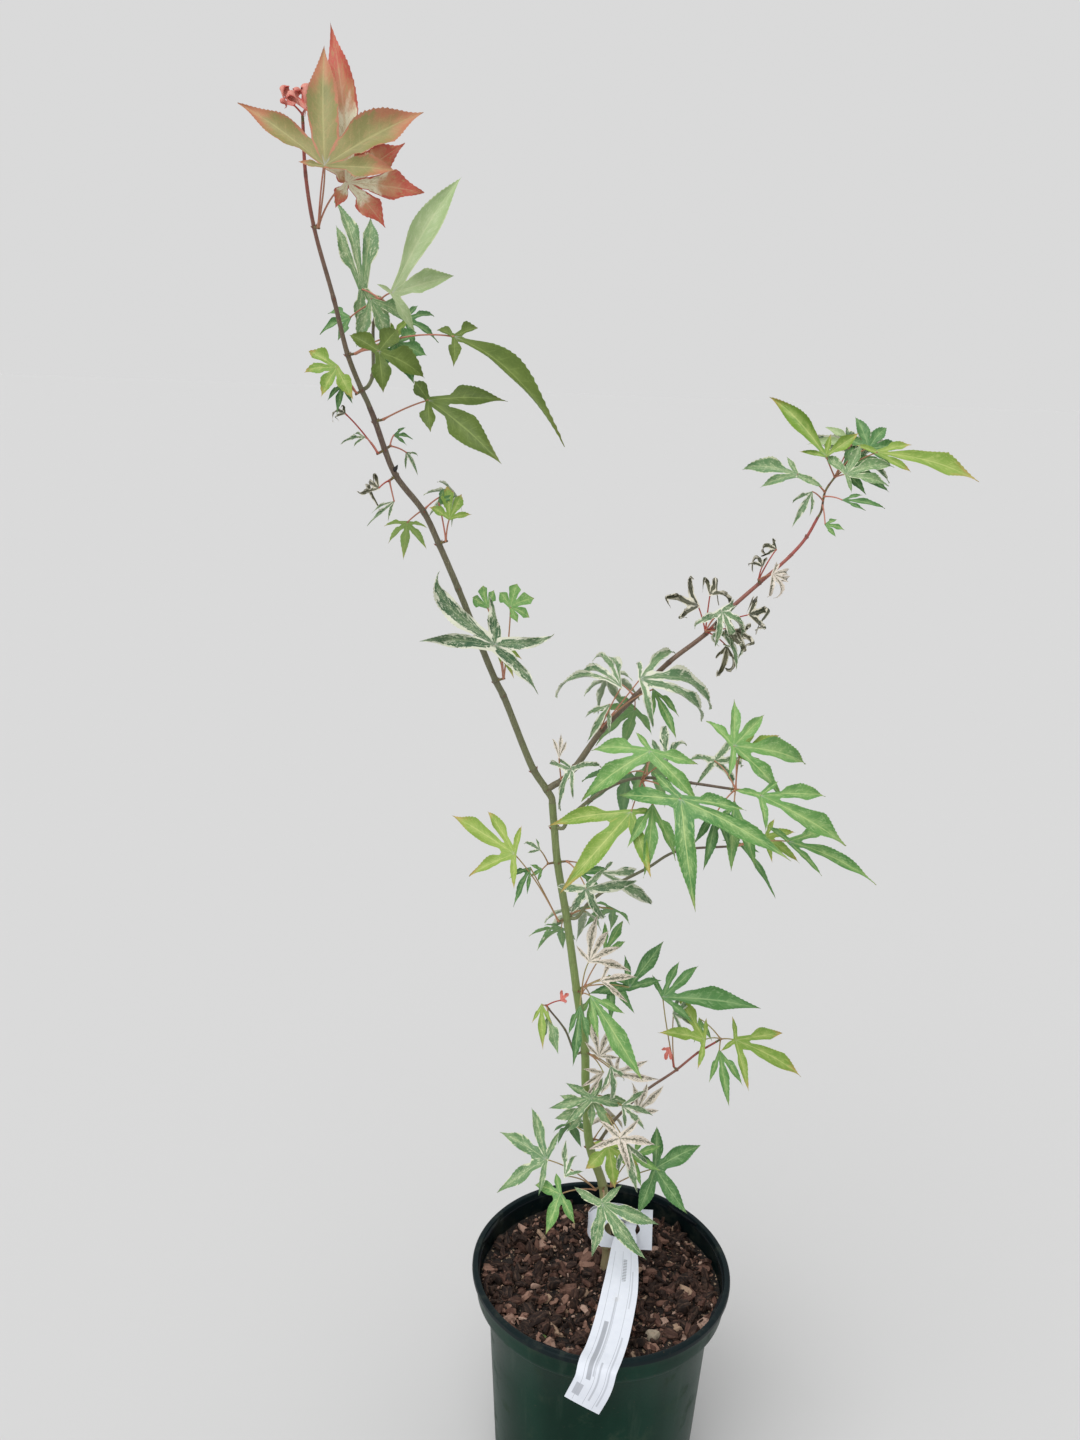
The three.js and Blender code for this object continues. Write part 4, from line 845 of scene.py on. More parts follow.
class Leaf:
    def __init__(self, row, draw):
        self.kind = {**kinds[row["kind"]], **row}
        self.normal = planeOf(row, draw)
        self.lobes = lobesOf(row, draw)
        self.hub = np.array(row["hub"], float)
        self.longest = max(lobe[1] for lobe in self.lobes)
        self.small = self.longest < blade["smallLeaf"]
        self.mirror = -math.copysign(1, self.normal[1])
        self.tone = looks.random()
        self.phase = looks.random() * 6

    def wayOf(self, heading):
        # a heading in the picture, laid on the leaf's plane
        x, z = turned(heading)
        normal, x = self.normal, self.mirror * x
        return np.array([x, -(normal[0] * x + normal[2] * z) / normal[1], z])

    def place(self, heading, reach):
        sag = self.kind["droop"] * reach * reach / self.longest / 2
        spot = self.hub + self.wayOf(heading) * reach - self.normal * sag
        spot[2] -= sag
        return spot

    # one lobe: a spine that arches, sways and curls, and at each row the way the blade's surface faces there
    def spineOf(self, lobe, shares, start):
        kind = self.kind
        heading, reach, _, lean = lobe
        straight = self.wayOf(heading)
        turn = math.radians(kind["curl"]) * drawn("curl")
        if kind.get("eitherWay") and looks.random() < 0.5:
            turn = -turn
        sway = kind["sway"] * (2 * looks.random() - 1) * reach
        spine, moved, before = [], np.zeros(3), start
        for share in shares:
            rest = max(0.0, share - start) / (1 - start)
            bend = turn * rest ** blade["curlPower"]
            leant = heading + lean * rest * rest
            way, across = self.wayOf(leant), unit(self.wayOf(leant + 90))
            curled = way * math.cos(bend) - self.normal * math.sin(bend)
            moved = moved + (curled - straight) * (share - before) * reach
            before = share
            centre = self.place(heading, share * reach) + moved + across * sway * rest * rest
            spine.append((centre, self.normal * math.cos(bend) + unit(way) * math.sin(bend), across))
        return spine

    # half of a lobe: its inner rows share the valley with the next lobe's half, its outer rows are toothed
    def halfLobe(self, i, side, spine, shares, start, marks):
        kind = self.kind
        heading, reach, width, _ = self.lobes[i]
        halfGap, valley, startWidth = marks[side]
        across = sharesTo(blade["columns"])
        grid = []
        for q in sharesTo(blade["innerRows"]):
            mid = self.place(heading, start * reach * q)
            edge = self.place(heading + side * halfGap, valley * q)
            wide = valley * q * math.sin(math.radians(halfGap))
            line = []
            for t in across:
                spot = mid * (1 - t) + edge * t - self.normal * blade["veinDip"] * q * (1 - t) ** 3
                line.append((spot, side * t, start * q, start * reach * q, side * t * wide))
            grid.append(line)
        fold = math.radians(kind["fold"]) * drawn("fold")
        # as wide as its half of the gap at most
        steepest = math.inf
        if halfGap < blade["freeFrom"]:
            steepest = math.tan(math.radians(halfGap)) * blade["gapShare"]
        for row, (share, (centre, facing, out)) in enumerate(zip(shares, spine), 1):
            q = row / len(shares)
            wide = min(halfWidthAt(share, start, startWidth, width), share * steepest)
            ease = min(1, q / blade["settled"])
            tooth = 0.0
            if not self.small and row < len(shares) - 1:
                tooth = kind["teeth"] * ease * (drawn("tooth") if row % 2 else blade["notch"])
            wide *= (1 + tooth) * reach
            ahead = blade["toothAhead"] * (1 - start) / len(shares) if tooth > 0 else 0
            spin = math.radians(self.twistOf[i]) * max(0, share - start) ** blade["twistPower"] * side
            wave = kind["wave"] * math.sin(share * blade["waves"] + self.phase + 2 * i + side)
            wave *= ease * min(1, reach / blade["fullWave"])
            line = []
            for t in across:
                angle = fold * ease * t + spin
                rise = wide * t * math.sin(angle) + wave * t * t - blade["veinDip"] * (1 - t) ** 3 * (1 - q)
                spot = centre + out * side * wide * t * math.cos(angle) + facing * rise
                spot = spot + self.wayOf(heading) * ahead * t * reach
                line.append((spot, side * t, share, (share + ahead * t) * reach, side * wide * t))
            grid.append(line)
        return grid

    def sheets(self):
        lobes, count = self.lobes, len(self.lobes)
        share = blade["smallValley"] if self.small else blade["valley"]
        gaps = [(lobes[(i + 1) % count][0] - lobes[i][0]) % 360 or 360 for i in range(count)]
        self.twistOf = [self.kind["twist"] * (2 * looks.random() - 1) for _ in lobes]
        for i, (heading, reach, width, _) in enumerate(lobes):
            marks, start = {}, 0
            for side in (1, -1):
                gap = gaps[i if side == 1 else (i - 1) % count]
                valley = share * min(reach, lobes[(i + side) % count][1]) * min(1, blade["wideGap"] / gap)
                ahead, aside = turned(gap / 2)
                start = max(start, blade["leastStart"] * valley / reach, valley * ahead / reach)
                marks[side] = (gap / 2, valley, max(blade["leastRoot"] * width, valley * aside / reach))
            tone = looks.random()
            rows = int(min(blade["mostRows"], max(blade["fewRows"], reach / blade["rowStep"])))
            shares = [start + (1 - start) * row / rows for row in range(1, rows + 1)]
            # both halves ride on one spine
            spine = self.spineOf(lobes[i], shares, start)
            state = looks.bit_generator.state
            for side in (1, -1):
                looks.bit_generator.state = state
                yield self.halfLobe(i, side, spine, shares, start, marks), side, tone, heading

    # top and underside share their rim, so a blade is one closed thin body
    def into(self, store, tile):
        columns = blade["columns"]
        for grid, side, tone, heading in self.sheets():
            cosine, sine = turned(heading)
            rows = len(grid)
            for layer in (0, 1):
                left, low, size = tile(layer)
                first = len(store["corners"])
                for r, line in enumerate(grid):
                    for c, cell in enumerate(line):
                        rim = (c == columns and r >= blade["innerRows"]) or r == rows - 1
                        lift = 0 if rim else (0.5 - layer) * blade["thickness"]
                        store["corners"].append(cell[0] + self.normal * lift)
                for r in range(rows - 1):
                    for c in range(columns):
                        quad = [(r, c), (r + 1, c), (r + 1, c + 1), (r, c + 1)]
                        if (side == -1) != (layer == 1):
                            quad.reverse()
                        store["faces"].append(tuple(first + a * (columns + 1) + b for a, b in quad))
                        for a, b in quad:
                            _, u, v, along, across = grid[a][b]
                            x = 0.5 + blade["tileHalf"] * (cosine * along - sine * across) / self.longest
                            y = 0.5 + blade["tileHalf"] * (cosine * across + sine * along) / self.longest
                            store["map"].append((u, v))
                            store["atlas"].append((left + size * x, low + size * y))
                            store["tone"].append((self.tone, layer, tone, 1))


# leaves at the back are grown by a seeded rule from the joint, fanned out and hanging
grownShape = {"turnVary": 9, "facing": 0.4, "vary": 0.2, "hang": -70, "hangVary": 50}


def growBack(grown, foot, draw):
    rows = []
    first, last = grown["fan"]
    for i in range(grown["count"]):
        fan = first + (last - first) * i / (grown["count"] - 1) + spread(draw, grownShape["turnVary"])
        out = grown["stalk"] * (1 + spread(draw, grownShape["vary"]))
        ahead, aside = turned(fan)
        drop = grown["rise"] + spread(draw, grown["size"] / 2)
        hub = (foot[0] + out * aside, foot[1] + out * ahead, foot[2] + drop)
        heading = grownShape["hang"] + spread(draw, grownShape["hangVary"])
        middle = (heading, grown["size"] * (1 + spread(draw, grownShape["vary"])))
        kindName = grown["kinds"][i % len(grown["kinds"])]
        rows.append(leaf(kindName, hub, turn=180 - grownShape["facing"] * fan, middle=middle))
    return rows


def leavesOf(name, number):
    own = masses[name]
    if "grown" not in own:
        return own["leaves"]
    limb = limbs[own["limb"]]
    return growBack(own["grown"], limb["course"].at(limb["shares"][own["joint"]]), seededDraws(100 * number))


looks = np.random.default_rng(7)
leafStores = {name: newStore() for name in kinds}
leafNodes = {name: [] for name in kinds}
leafCount = {name: 0 for name in kinds}
stalks, spurs = newStore(), newStore()
rowsOfMass = {name: leavesOf(name, number) for number, name in enumerate(masses, 1)}


def tileFor(kindName, index):
    # each leaf has two square tiles on its kind's baking map, one for each face
    total = sum(row["kind"] == kindName for rows in rowsOfMass.values() for row in rows)
    wide = math.ceil(math.sqrt(2 * total))

    def tile(layer):
        place = 2 * index + layer
        return (place % wide) / wide, (place // wide) / wide, 1 / wide

    return tile


stalkShape = {
    "radius": 0.52, "foot": 0.9, "footShare": 0.14, "taper": 0.1, "head": 0.12, "headShare": 0.07,
    "bow": 0.12, "bowVary": 0.4, "sideVary": 0.06, "steps": 12, "sides": 8, "smooth": 60,
}
spurShape = {"radius": 0.75, "length": 4, "rings": 12, "sides": 10, "sunk": 1.2, "ringed": 0.09, "ringStep": 26}
# stalks are greenest up to this height, and pink from so much higher
greenStalks = {"to": 350, "fade": 350}


def growStalk(row, root, draw, tone):
    hub = np.array(row["hub"], float)
    length = np.linalg.norm(hub - root)
    middle = (root + hub) / 2
    middle[2] += stalkShape["bow"] * length * (1 + spread(draw, stalkShape["bowVary"]))
    middle[0] += spread(draw, stalkShape["sideVary"]) * length
    shares = sharesTo(stalkShape["steps"])
    bowed = [(1 - q) ** 2 * root + 2 * q * (1 - q) * middle + q * q * hub for q in shares]

    def thickness(share):
        # a little swollen where it meets the shoot and the blade
        foot = max(0, 1 - share / stalkShape["footShare"]) ** 1.5 * (stalkShape["foot"] - stalkShape["radius"])
        head = stalkShape["head"] * max(0, share - 1 + stalkShape["headShare"]) / stalkShape["headShare"]
        return stalkShape["radius"] + foot + head - stalkShape["taper"] * share

    tubeInto(stalks, Course(bowed, 4), shares, thickness, stalkShape["sides"], tone=tone)


def spurThickness(share):
    # ringed where it has grown on year by year
    rings = spurShape["ringed"] * math.cos(share * spurShape["ringStep"])
    return spurShape["radius"] * (1.1 - 0.2 * share + rings)


def growMass(name, number):
    own, rows = masses[name], rowsOfMass[name]
    centre = np.mean([row["hub"] for row in rows if "filler" not in row], axis=0)
    start, out = seatOn(own["limb"], own["joint"], centre)
    course = Course([start, start + out * spurShape["length"], *own.get("twig", ())], 20)
    shares = sharesTo(spurShape["rings"])
    tubeInto(spurs, course, shares, spurThickness, spurShape["sides"], sunk=spurShape["sunk"])
    green = min(1, max(0, (greenStalks["to"] + greenStalks["fade"] - start[2]) / greenStalks["fade"]))
    for i, row in enumerate(rows):
        if i in own.get("skipped", ()):
            continue
        draw = seededDraws(100 * number + i + 1)
        kindName = row["kind"]
        Leaf(row, draw).into(leafStores[kindName], tileFor(kindName, leafCount[kindName]))
        leafCount[kindName] += 1
        red = 1.0 if kindName in ("redCurl", "dead") else 0.0
        greener = green * (0.5 + 0.5 * looks.random())
        tone = (looks.random(), red, greener, 1)
        growStalk(row, course.at(row.get("at", 1) * (1 - 1 / course.length)), draw, tone)
    leafNodes[rows[0]["kind"]].append(name)


for number, name in enumerate(masses, 1):
    growMass(name, number)
print("leaves", sum(leafCount.values()))


# leaf surface: veins, pale or blushed margins, flecks along the veins, paler undersides
leafColours = ("blade", "second blade", "vein", "margin", "fleck", "underside", "tip", "heart")
leafNumbers = {
    "margin from": 2.0, "margin rag": 0.5, "flecks": 0.0, "fleck from": 0.55, "fleck inward": 0.0,
    "veins": 0.5, "tip from": 2.0, "heart to": 0.0, "halo": 0.0,
}


def leafGroup():
    n, want, out = newGroup("leafSurface", leafColours, leafNumbers)
    sideways, along = n.axes(n.uv("leafMap"))[:2]
    across = n.math("ABSOLUTE", sideways)
    tone = n.tones("leafTone")
    own = n.timesPlus(tone[2], 37.0, n.times(tone[0], 61.0))

    def lobeNoise(aside, lengthways, detail, roughness):
        # a pattern that belongs to its lobe, the same on both faces of the blade
        slant = n.timesPlus(across, -0.12, along)
        spot = n.add("CombineXYZ", {0: n.times(sideways, aside), 1: n.times(slant, lengthways), 2: own})
        return n.noiseAt(spot.outputs[0], 1.0, detail, roughness)

    patches = lobeNoise(1.3, 6.0, 3.0, 0.6)
    streaks = lobeNoise(4.5, 13.0, 4.0, 0.72)
    patchy, streaky = n.minus(patches, 0.5), n.minus(streaks, 0.5)
    grain = n.noise(2600.0, 2.0)
    share = n.timesPlus(tone[0], 0.6, n.timesPlus(n.noise(60.0, 2.0), 1.0, -0.5))
    share = n.timesPlus(tone[2], 0.3, n.timesPlus(streaks, 0.5, n.minus(share, 0.25)))
    base = n.mix(n.add("Clamp", {0: share}).outputs[0], want["blade"], want["second blade"])
    # the tip and the heart of the leaf colour over the blade
    toTip = n.timesPlus(across, 0.12, n.timesPlus(patchy, 0.5, along))
    base = n.mix(n.times(n.step(n.minus(toTip, want["tip from"]), -0.08, 0.2), 0.85), base, want["tip"])
    toHeart = n.minus(want["heart to"], n.timesPlus(patchy, 0.4, along))
    base = n.mix(n.step(toHeart, -0.06, 0.1), base, want["heart"])
    # flecks follow the side veins
    inward = n.times(n.minus(0.5, across), want["fleck inward"])
    fleck = n.minus(n.math("ADD", streaks, inward), want["fleck from"])
    base = n.mix(n.times(n.step(fleck, -0.01, 0.05), want["flecks"]), base, want["fleck"])
    # fine speckles of the same colour, thickest round the veins
    halo = n.times(n.step(across, 0.75, 0.05), want["halo"])
    base = n.mix(n.times(halo, n.step(patches, 0.34, 0.62)), base, want["vein"])
    speckle = n.step(n.timesPlus(patches, 0.35, lobeNoise(11.0, 42.0, 3.0, 0.7)), 0.76, 0.82)
    base = n.mix(n.times(speckle, want["flecks"]), base, want["fleck"])
    # ragged margins, in places running in to the midrib
    edge = n.timesPlus(patchy, want["margin rag"], across)
    edge = n.timesPlus(streaky, n.times(want["margin rag"], 0.6), edge)
    margin = n.times(n.step(n.minus(edge, want["margin from"]), -0.03, 0.06), n.step(along, 0.02, 0.14))
    base = n.mix(margin, base, want["margin"])
    # midrib and side veins
    rib = n.step(n.minus(across, n.timesPlus(along, -0.05, 0.085)), 0.02, -0.03)
    comb = n.math("FRACT", n.timesPlus(across, -1.1, n.times(along, 10.0)))
    sideVein = n.step(n.math("ABSOLUTE", n.minus(comb, 0.5)), 0.09, 0.02)
    sideVein = n.times(n.times(sideVein, n.step(across, 0.95, 0.4)), n.step(along, 0.12, 0.3))
    veins = n.math("MAXIMUM", rib, n.times(sideVein, 0.3))
    base = n.mix(n.times(veins, want["veins"]), base, want["vein"])
    base = n.mix(n.times(tone[1], 0.5), base, want["underside"])
    grey = n.add("CombineColor", {0: grain, 1: grain, 2: grain}).outputs[0]
    base = n.mix(0.2, base, grey, "OVERLAY")
    # veins lie sunk on top and stand out below; the blade puckers between them
    raised = n.times(veins, n.timesPlus(tone[1], 2.0, -1.0))
    height = n.timesPlus(streaks, 0.35, n.timesPlus(raised, 0.6, n.times(grain, 0.2)))
    return n.giveOut(out, base, n.timesPlus(streaks, 0.2, n.timesPlus(tone[1], 0.12, 0.4)), height)


leafSurface = leafGroup()
# for each kind its numbers, then its colours, in the order above
leafLooks = {
    "green": ((0.97, 0.5, 0.6, 0.57, 0.0, 0.7, 0.95, 0.0, 0.4),
        (76, 130, 68), (118, 166, 88), (184, 206, 134), (132, 170, 94), (172, 200, 138),
        (132, 168, 116), (164, 158, 92)),
    "dark": ((0.97, 0.5, 0.55, 0.58, 0.0, 0.65, 0.98, 0.0, 0.35),
        (62, 108, 58), (92, 142, 78), (164, 194, 132), (88, 132, 82), (150, 184, 128),
        (112, 148, 106), (120, 132, 80)),
    "lime": ((0.94, 0.5, 0.45, 0.58, 0.0, 0.55, 0.84, 0.0, 0.35),
        (116, 154, 62), (152, 178, 80), (204, 212, 132), (156, 170, 80), (188, 200, 118),
        (156, 186, 110), (196, 150, 88)),
    "olive": ((0.96, 0.5, 0.3, 0.6, 0.0, 0.4, 0.92, 0.0, 0.2),
        (86, 108, 42), (118, 138, 56), (160, 178, 100), (108, 132, 62), (132, 156, 82),
        (132, 158, 84), (124, 124, 64)),
    "variegated": ((0.64, 1.9, 0.85, 0.56, -0.1, 0.35, 2.0, 0.0, 0.25),
        (58, 94, 62), (108, 144, 98), (168, 186, 142), (222, 223, 202), (204, 210, 182), (172, 184, 158)),
    "flecked": ((0.9, 1.3, 0.75, 0.58, 0.04, 0.45, 2.0, 0.0, 0.3),
        (84, 124, 80), (126, 160, 106), (194, 208, 158), (208, 214, 178), (200, 210, 172), (150, 178, 130)),
    "pale": ((0.9, 0.5, 0.4, 0.55, 0.0, 0.4, 2.0, 0.0, 0.3),
        (146, 172, 116), (178, 198, 148), (206, 216, 170), (190, 204, 156), (196, 208, 168), (190, 206, 160)),
    "pinkWhite": ((0.9, 0.4, 0.92, 0.56, 0.3, 0.3, 2.0, 0.0, 0.0),
        (218, 206, 190), (234, 224, 210), (166, 156, 124), (236, 224, 212), (68, 74, 52), (212, 202, 186)),
    "young": ((0.86, 0.7, 0.35, 0.55, 0.0, 0.5, 0.66, 0.0, 0.25),
        (130, 134, 82), (158, 148, 94), (190, 184, 126), (190, 128, 98), (180, 150, 106),
        (180, 152, 112), (198, 122, 96)),
    "blush": ((0.84, 0.8, 0.5, 0.55, 0.0, 0.4, 0.62, 0.46, 0.0),
        (190, 146, 104), (208, 134, 106), (214, 180, 142), (190, 94, 78), (176, 156, 104),
        (208, 150, 124), (192, 78, 66), (234, 230, 202)),
    "redCurl": ((0.8, 0.5, 0.4, 0.55, 0.0, 0.4, 2.0, 0.0, 0.0),
        (212, 118, 108), (226, 160, 142), (230, 180, 162), (200, 92, 84), (188, 96, 88), (212, 136, 120)),
    "dead": ((0.62, 2.0, 0.8, 0.54, 0.0, 0.3, 0.9, 0.0, 0.0),
        (58, 66, 48), (110, 108, 82), (150, 140, 112), (208, 203, 184), (38, 32, 28),
        (104, 98, 78), (44, 34, 28)),
}


def leafMaterial(kindName):
    numbers, *tints = leafLooks[kindName]
    values = dict(zip(leafNumbers, numbers))
    values.update((key, sRgb(*tint)) for key, tint in zip(leafColours, tints))
    return groupMaterial(kindName + "_leaf_skin", leafSurface, values, 0.45, 0.0003, 0.35)


def weldLeaf(piece):
    # halves of neighbouring lobes meet point for point: they are merged into one skin
    mesh = bmesh.new()
    mesh.from_mesh(piece.data)
    bmesh.ops.remove_doubles(mesh, verts=mesh.verts, dist=1e-6)
    bmesh.ops.dissolve_degenerate(mesh, dist=1e-7, edges=mesh.edges)
    mesh.to_mesh(piece.data)
    mesh.free()


for kindName, store in leafStores.items():
    if not store["faces"]:
        continue
    piece = pieceFromStore(kindName + "_leaves", store, "leafMap", "leafTone")
    weldLeaf(piece)
    finishPiece(piece, blade["smooth"], leafMaterial(kindName), kinds[kindName]["slot"], leafNodes[kindName])
    print(kindName, "leaves", leafCount[kindName], "faces", len(piece.data.polygons))


# stalks and spurs: smooth, thin, pink to red
def stalkMaterial():
    n = newMaterial("stalk_skin")
    tone = n.tones("stalkTone")
    along = n.axes(n.uv("stalkMap"))[1]
    fresh = n.mix(tone[0], sRgb(196, 122, 106), sRgb(158, 108, 76))
    fresh = n.mix(n.times(n.step(along, -0.6, 0.9), tone[2]), fresh, sRgb(150, 156, 92))
    base = n.mix(tone[1], fresh, sRgb(168, 62, 54))
    streaks = n.grit(0.45, 0.7, 1.0, 4.0, (1800, 1800, 260))
    base = n.mix(n.times(streaks, 0.4), base, sRgb(206, 154, 126))
    return n.dress(base, n.timesPlus(streaks, 0.2, 0.42), streaks, 0.3, 0.0001)


def spurMaterial():
    n = newMaterial("spur_bark")
    rings = n.math("SINE", n.times(n.axes(n.uv("stalkMap"))[1], 30.0))
    patches = n.noise(420.0, 4.0)
    share = n.timesPlus(rings, 0.2, patches)
    base = n.mix(n.step(share, 0.35, 0.7), sRgb(104, 76, 54), sRgb(120, 112, 70))
    return n.dress(base, n.timesPlus(patches, 0.3, 0.45), share, 0.5, 0.0002)


for name, store, material in (("leaf_stalks", stalks, stalkMaterial()), ("leaf_spurs", spurs, spurMaterial())):
    piece = pieceFromStore(name, store, "stalkMap", "stalkTone")
    finishPiece(piece, stalkShape["smooth"], material, "red_bark", [])
print("stalks", len(stalks["faces"]), "spurs", len(spurs["faces"]))


# buds: a pointed pair at each joint, and the ends that never opened
buds = {
    "length": 3.4, "radius": 1.05, "lean": 32, "sides": 10, "sunk": 0.8, "smooth": 40,
    "turn": 20, "least": 0.3, "more": 0.2, "onTrunk": 1.15, "inset": 0.1, "endSize": 0.55, "endInset": 0.4,
    # overlapping scales give a bud its stepped outline: share of its length, share of its radius
    "outline": [
        (0, 0.55), (0.16, 0.9), (0.30, 1.0), (0.33, 0.9), (0.52, 0.86), (0.56, 0.72), (0.76, 0.5), (0.9, 0.26),
        (1, 0.05),
    ],
    "ends": ("right_bough", "middle_branch", "lower_branch", "low_branch", "left_twig", "leader_side_shoot"),
    "black": {"share": 0.86, "aside": (1.2, -1.2, 0.3), "way": (0.5, -0.4, 0.8), "size": 1.2},
}
budStore = newStore()


def addBud(spot, way, size, tone):
    way = unit(np.array(way, float))
    length = buds["length"] * size
    points = [spot - way * buds["sunk"], spot + way * length * 0.5, spot + way * length]
    shares, radii = zip(*buds["outline"])

    def thickness(share):
        return buds["radius"] * size * np.interp(share, shares, radii)

    tubeInto(budStore, Course(points, 12), shares, thickness, buds["sides"], tone=tone)


def addBuds():
    ahead, aside = turned(buds["lean"])
    for name, limb in limbs.items():
        course = limb["course"]
        for index, joint in enumerate(limb["shares"][1:-1]):
            centre, side, across = list(ringFrames(course, [0, joint]))[1]
            first, second = turned(90 * (index % 2) + buds["turn"])
            for flip in (1, -1):
                out = (side * first + across * second) * flip
                way = course.way(joint) * ahead + out * aside
                size = buds["least"] + buds["more"] * looks.random()
                size *= buds["onTrunk"] if name == "trunk" else 1
                spot = centre + out * (limb["radiusAt"](joint) - buds["inset"])
                addBud(spot, way, size, (looks.random(), 0, 0, 1))
    for name in buds["ends"]:
        course = limbs[name]["course"]
        way = course.way(1)
        addBud(course.at(1) - way * buds["endInset"], way, buds["endSize"], (looks.random(), 0, 0, 1))
    black = buds["black"]
    spot = limbs["leader_lower"]["course"].at(black["share"]) + np.array(black["aside"])
    addBud(spot, black["way"], black["size"], (0, 1, 0, 1))


def budMaterial():
    n = newMaterial("bud_scales")
    tone = n.tones("stalkTone")
    grain = n.noise(1400.0, 3.0)
    base = n.mix(n.timesPlus(grain, 0.8, n.times(tone[0], 0.3)), sRgb(104, 54, 42), sRgb(156, 92, 66))
    base = n.mix(n.step(n.axes(n.uv("stalkMap"))[1], 0.75, 1.0), base, sRgb(74, 40, 34))
    base = n.mix(tone[1], base, sRgb(26, 20, 22))
    return n.dress(base, n.timesPlus(grain, 0.3, 0.35), grain, 0.3, 0.0001)


addBuds()
budPiece = pieceFromStore("winter_buds", budStore, "stalkMap", "stalkTone")
finishPiece(budPiece, buds["smooth"], budMaterial(), "red_bark", [])
print("buds", len(budStore["faces"]) // (len(buds["outline"]) + 1) // buds["sides"])


# pot: turned from its profile, drilled, with stacking ribs inside the collar
pot = {
    "steps": 144, "weld": 0.02, "smooth": 32,
    "holes": 8, "holeRadius": 4.5, "holeCircle": 56, "holeSides": 28, "drillAt": 1, "drillDepth": 12,
    "profile": [
        (0, 0.5), (30, 0.5), (31, 0), (46, 0), (48, 0), (71.2, 0), (72.6, 0.6), (73.2, 2.2), (75, 32),
        (77.5, 74), (80, 115), (82.4, 155.4), (83.4, 156.9), (85.4, 157.5), (88.6, 157.7),
        (90.4, 158.2), (91.3, 159.4), (91.6, 161.5), (92.4, 168), (92.9, 173.2), (93.2, 174.1),
        (94.2, 174.3), (94.9, 174.9), (95, 176.2), (94.9, 177.9), (94.2, 178.8), (93, 179), (91.6, 179),
        (90.8, 178.7), (90.5, 178), (90.5, 175.4), (90.1, 174.7), (89.4, 174.5), (89.3, 173.6),
        (89.3, 166), (89.3, 161.2), (88.6, 160.7), (85, 160), (81.6, 159.5), (80.8, 158.6),
        (80.7, 156.8), (78.3, 116), (75.8, 75), (73.3, 32), (71.6, 4), (70.6, 2.3), (69, 2), (40, 2),
        (0, 2),
    ],
}


def turnPot():
    corners = [(radius, 0, height) for radius, height in pot["profile"]]
    piece = pieceFromLists("nursery_pot", corners, [], [(i, i + 1) for i in range(len(corners) - 1)])
    selectOnly(piece)
    bpy.ops.object.mode_set(mode="EDIT")
    bpy.ops.mesh.select_all(action="SELECT")
    bpy.ops.mesh.spin(steps=pot["steps"], angle=2 * math.pi, center=(0, 0, 0), axis=(0, 0, 1))
    bpy.ops.object.mode_set(mode="OBJECT")
    mend(piece, pot["weld"] * millimetre)
    return piece


def drillPot(piece):
    drills = []
    circle, radius, depth = (pot[key] * millimetre for key in ("holeCircle", "holeRadius", "drillDepth"))
    for i in range(pot["holes"]):
        x, y = turned(360 * i / pot["holes"])
        place = (circle * x, circle * y, pot["drillAt"] * millimetre)
        bpy.ops.mesh.primitive_cylinder_add(
            vertices=pot["holeSides"], radius=radius, depth=depth, location=place)
        drills.append(bpy.context.object)
    selectOnly(*drills)
    bpy.ops.object.join()
    punchOut(piece, bpy.context.object)


# short bowed ledges that keep stacked pots apart: centre bearing, half angle
stackRibs = {
    "outer": 90.9, "wall": 90.5, "height": 2.6, "proud": 2.2, "bevel": 0.4, "steps": 26, "top": 177.6,
    "arcs": [(158, 9.5), (-25, 10.5), (-114, 10), (42, 9.5)],
}


def addRibs():
    corners, faces = [], []
    steps, top, outer = stackRibs["steps"], stackRibs["top"], stackRibs["outer"]
    bottom, bevel = top - stackRibs["height"], stackRibs["bevel"]
    for bearing, half in stackRibs["arcs"]:
        first = len(corners)
        for i in range(steps + 1):
            x, y = turned(bearing - half + 2 * half * i / steps)
            ease = min(1, 4 * min(i, steps - i) / steps)
            inner = stackRibs["wall"] - stackRibs["proud"] * (0.25 + 0.75 * ease)
            section = (outer, top), (inner + bevel, top), (inner, top - bevel), (inner, bottom), (outer, bottom)
            corners += [(radius * x, radius * y, z) for radius, z in section]
        last = len(corners) - len(section)
        faces += quadsRound(first, steps, len(section))
        faces += [tuple(reversed(range(first, first + len(section)))), tuple(range(last, len(corners)))]
    piece = pieceFromLists("stacking_ribs", corners, faces)
    mend(piece)
    return piece


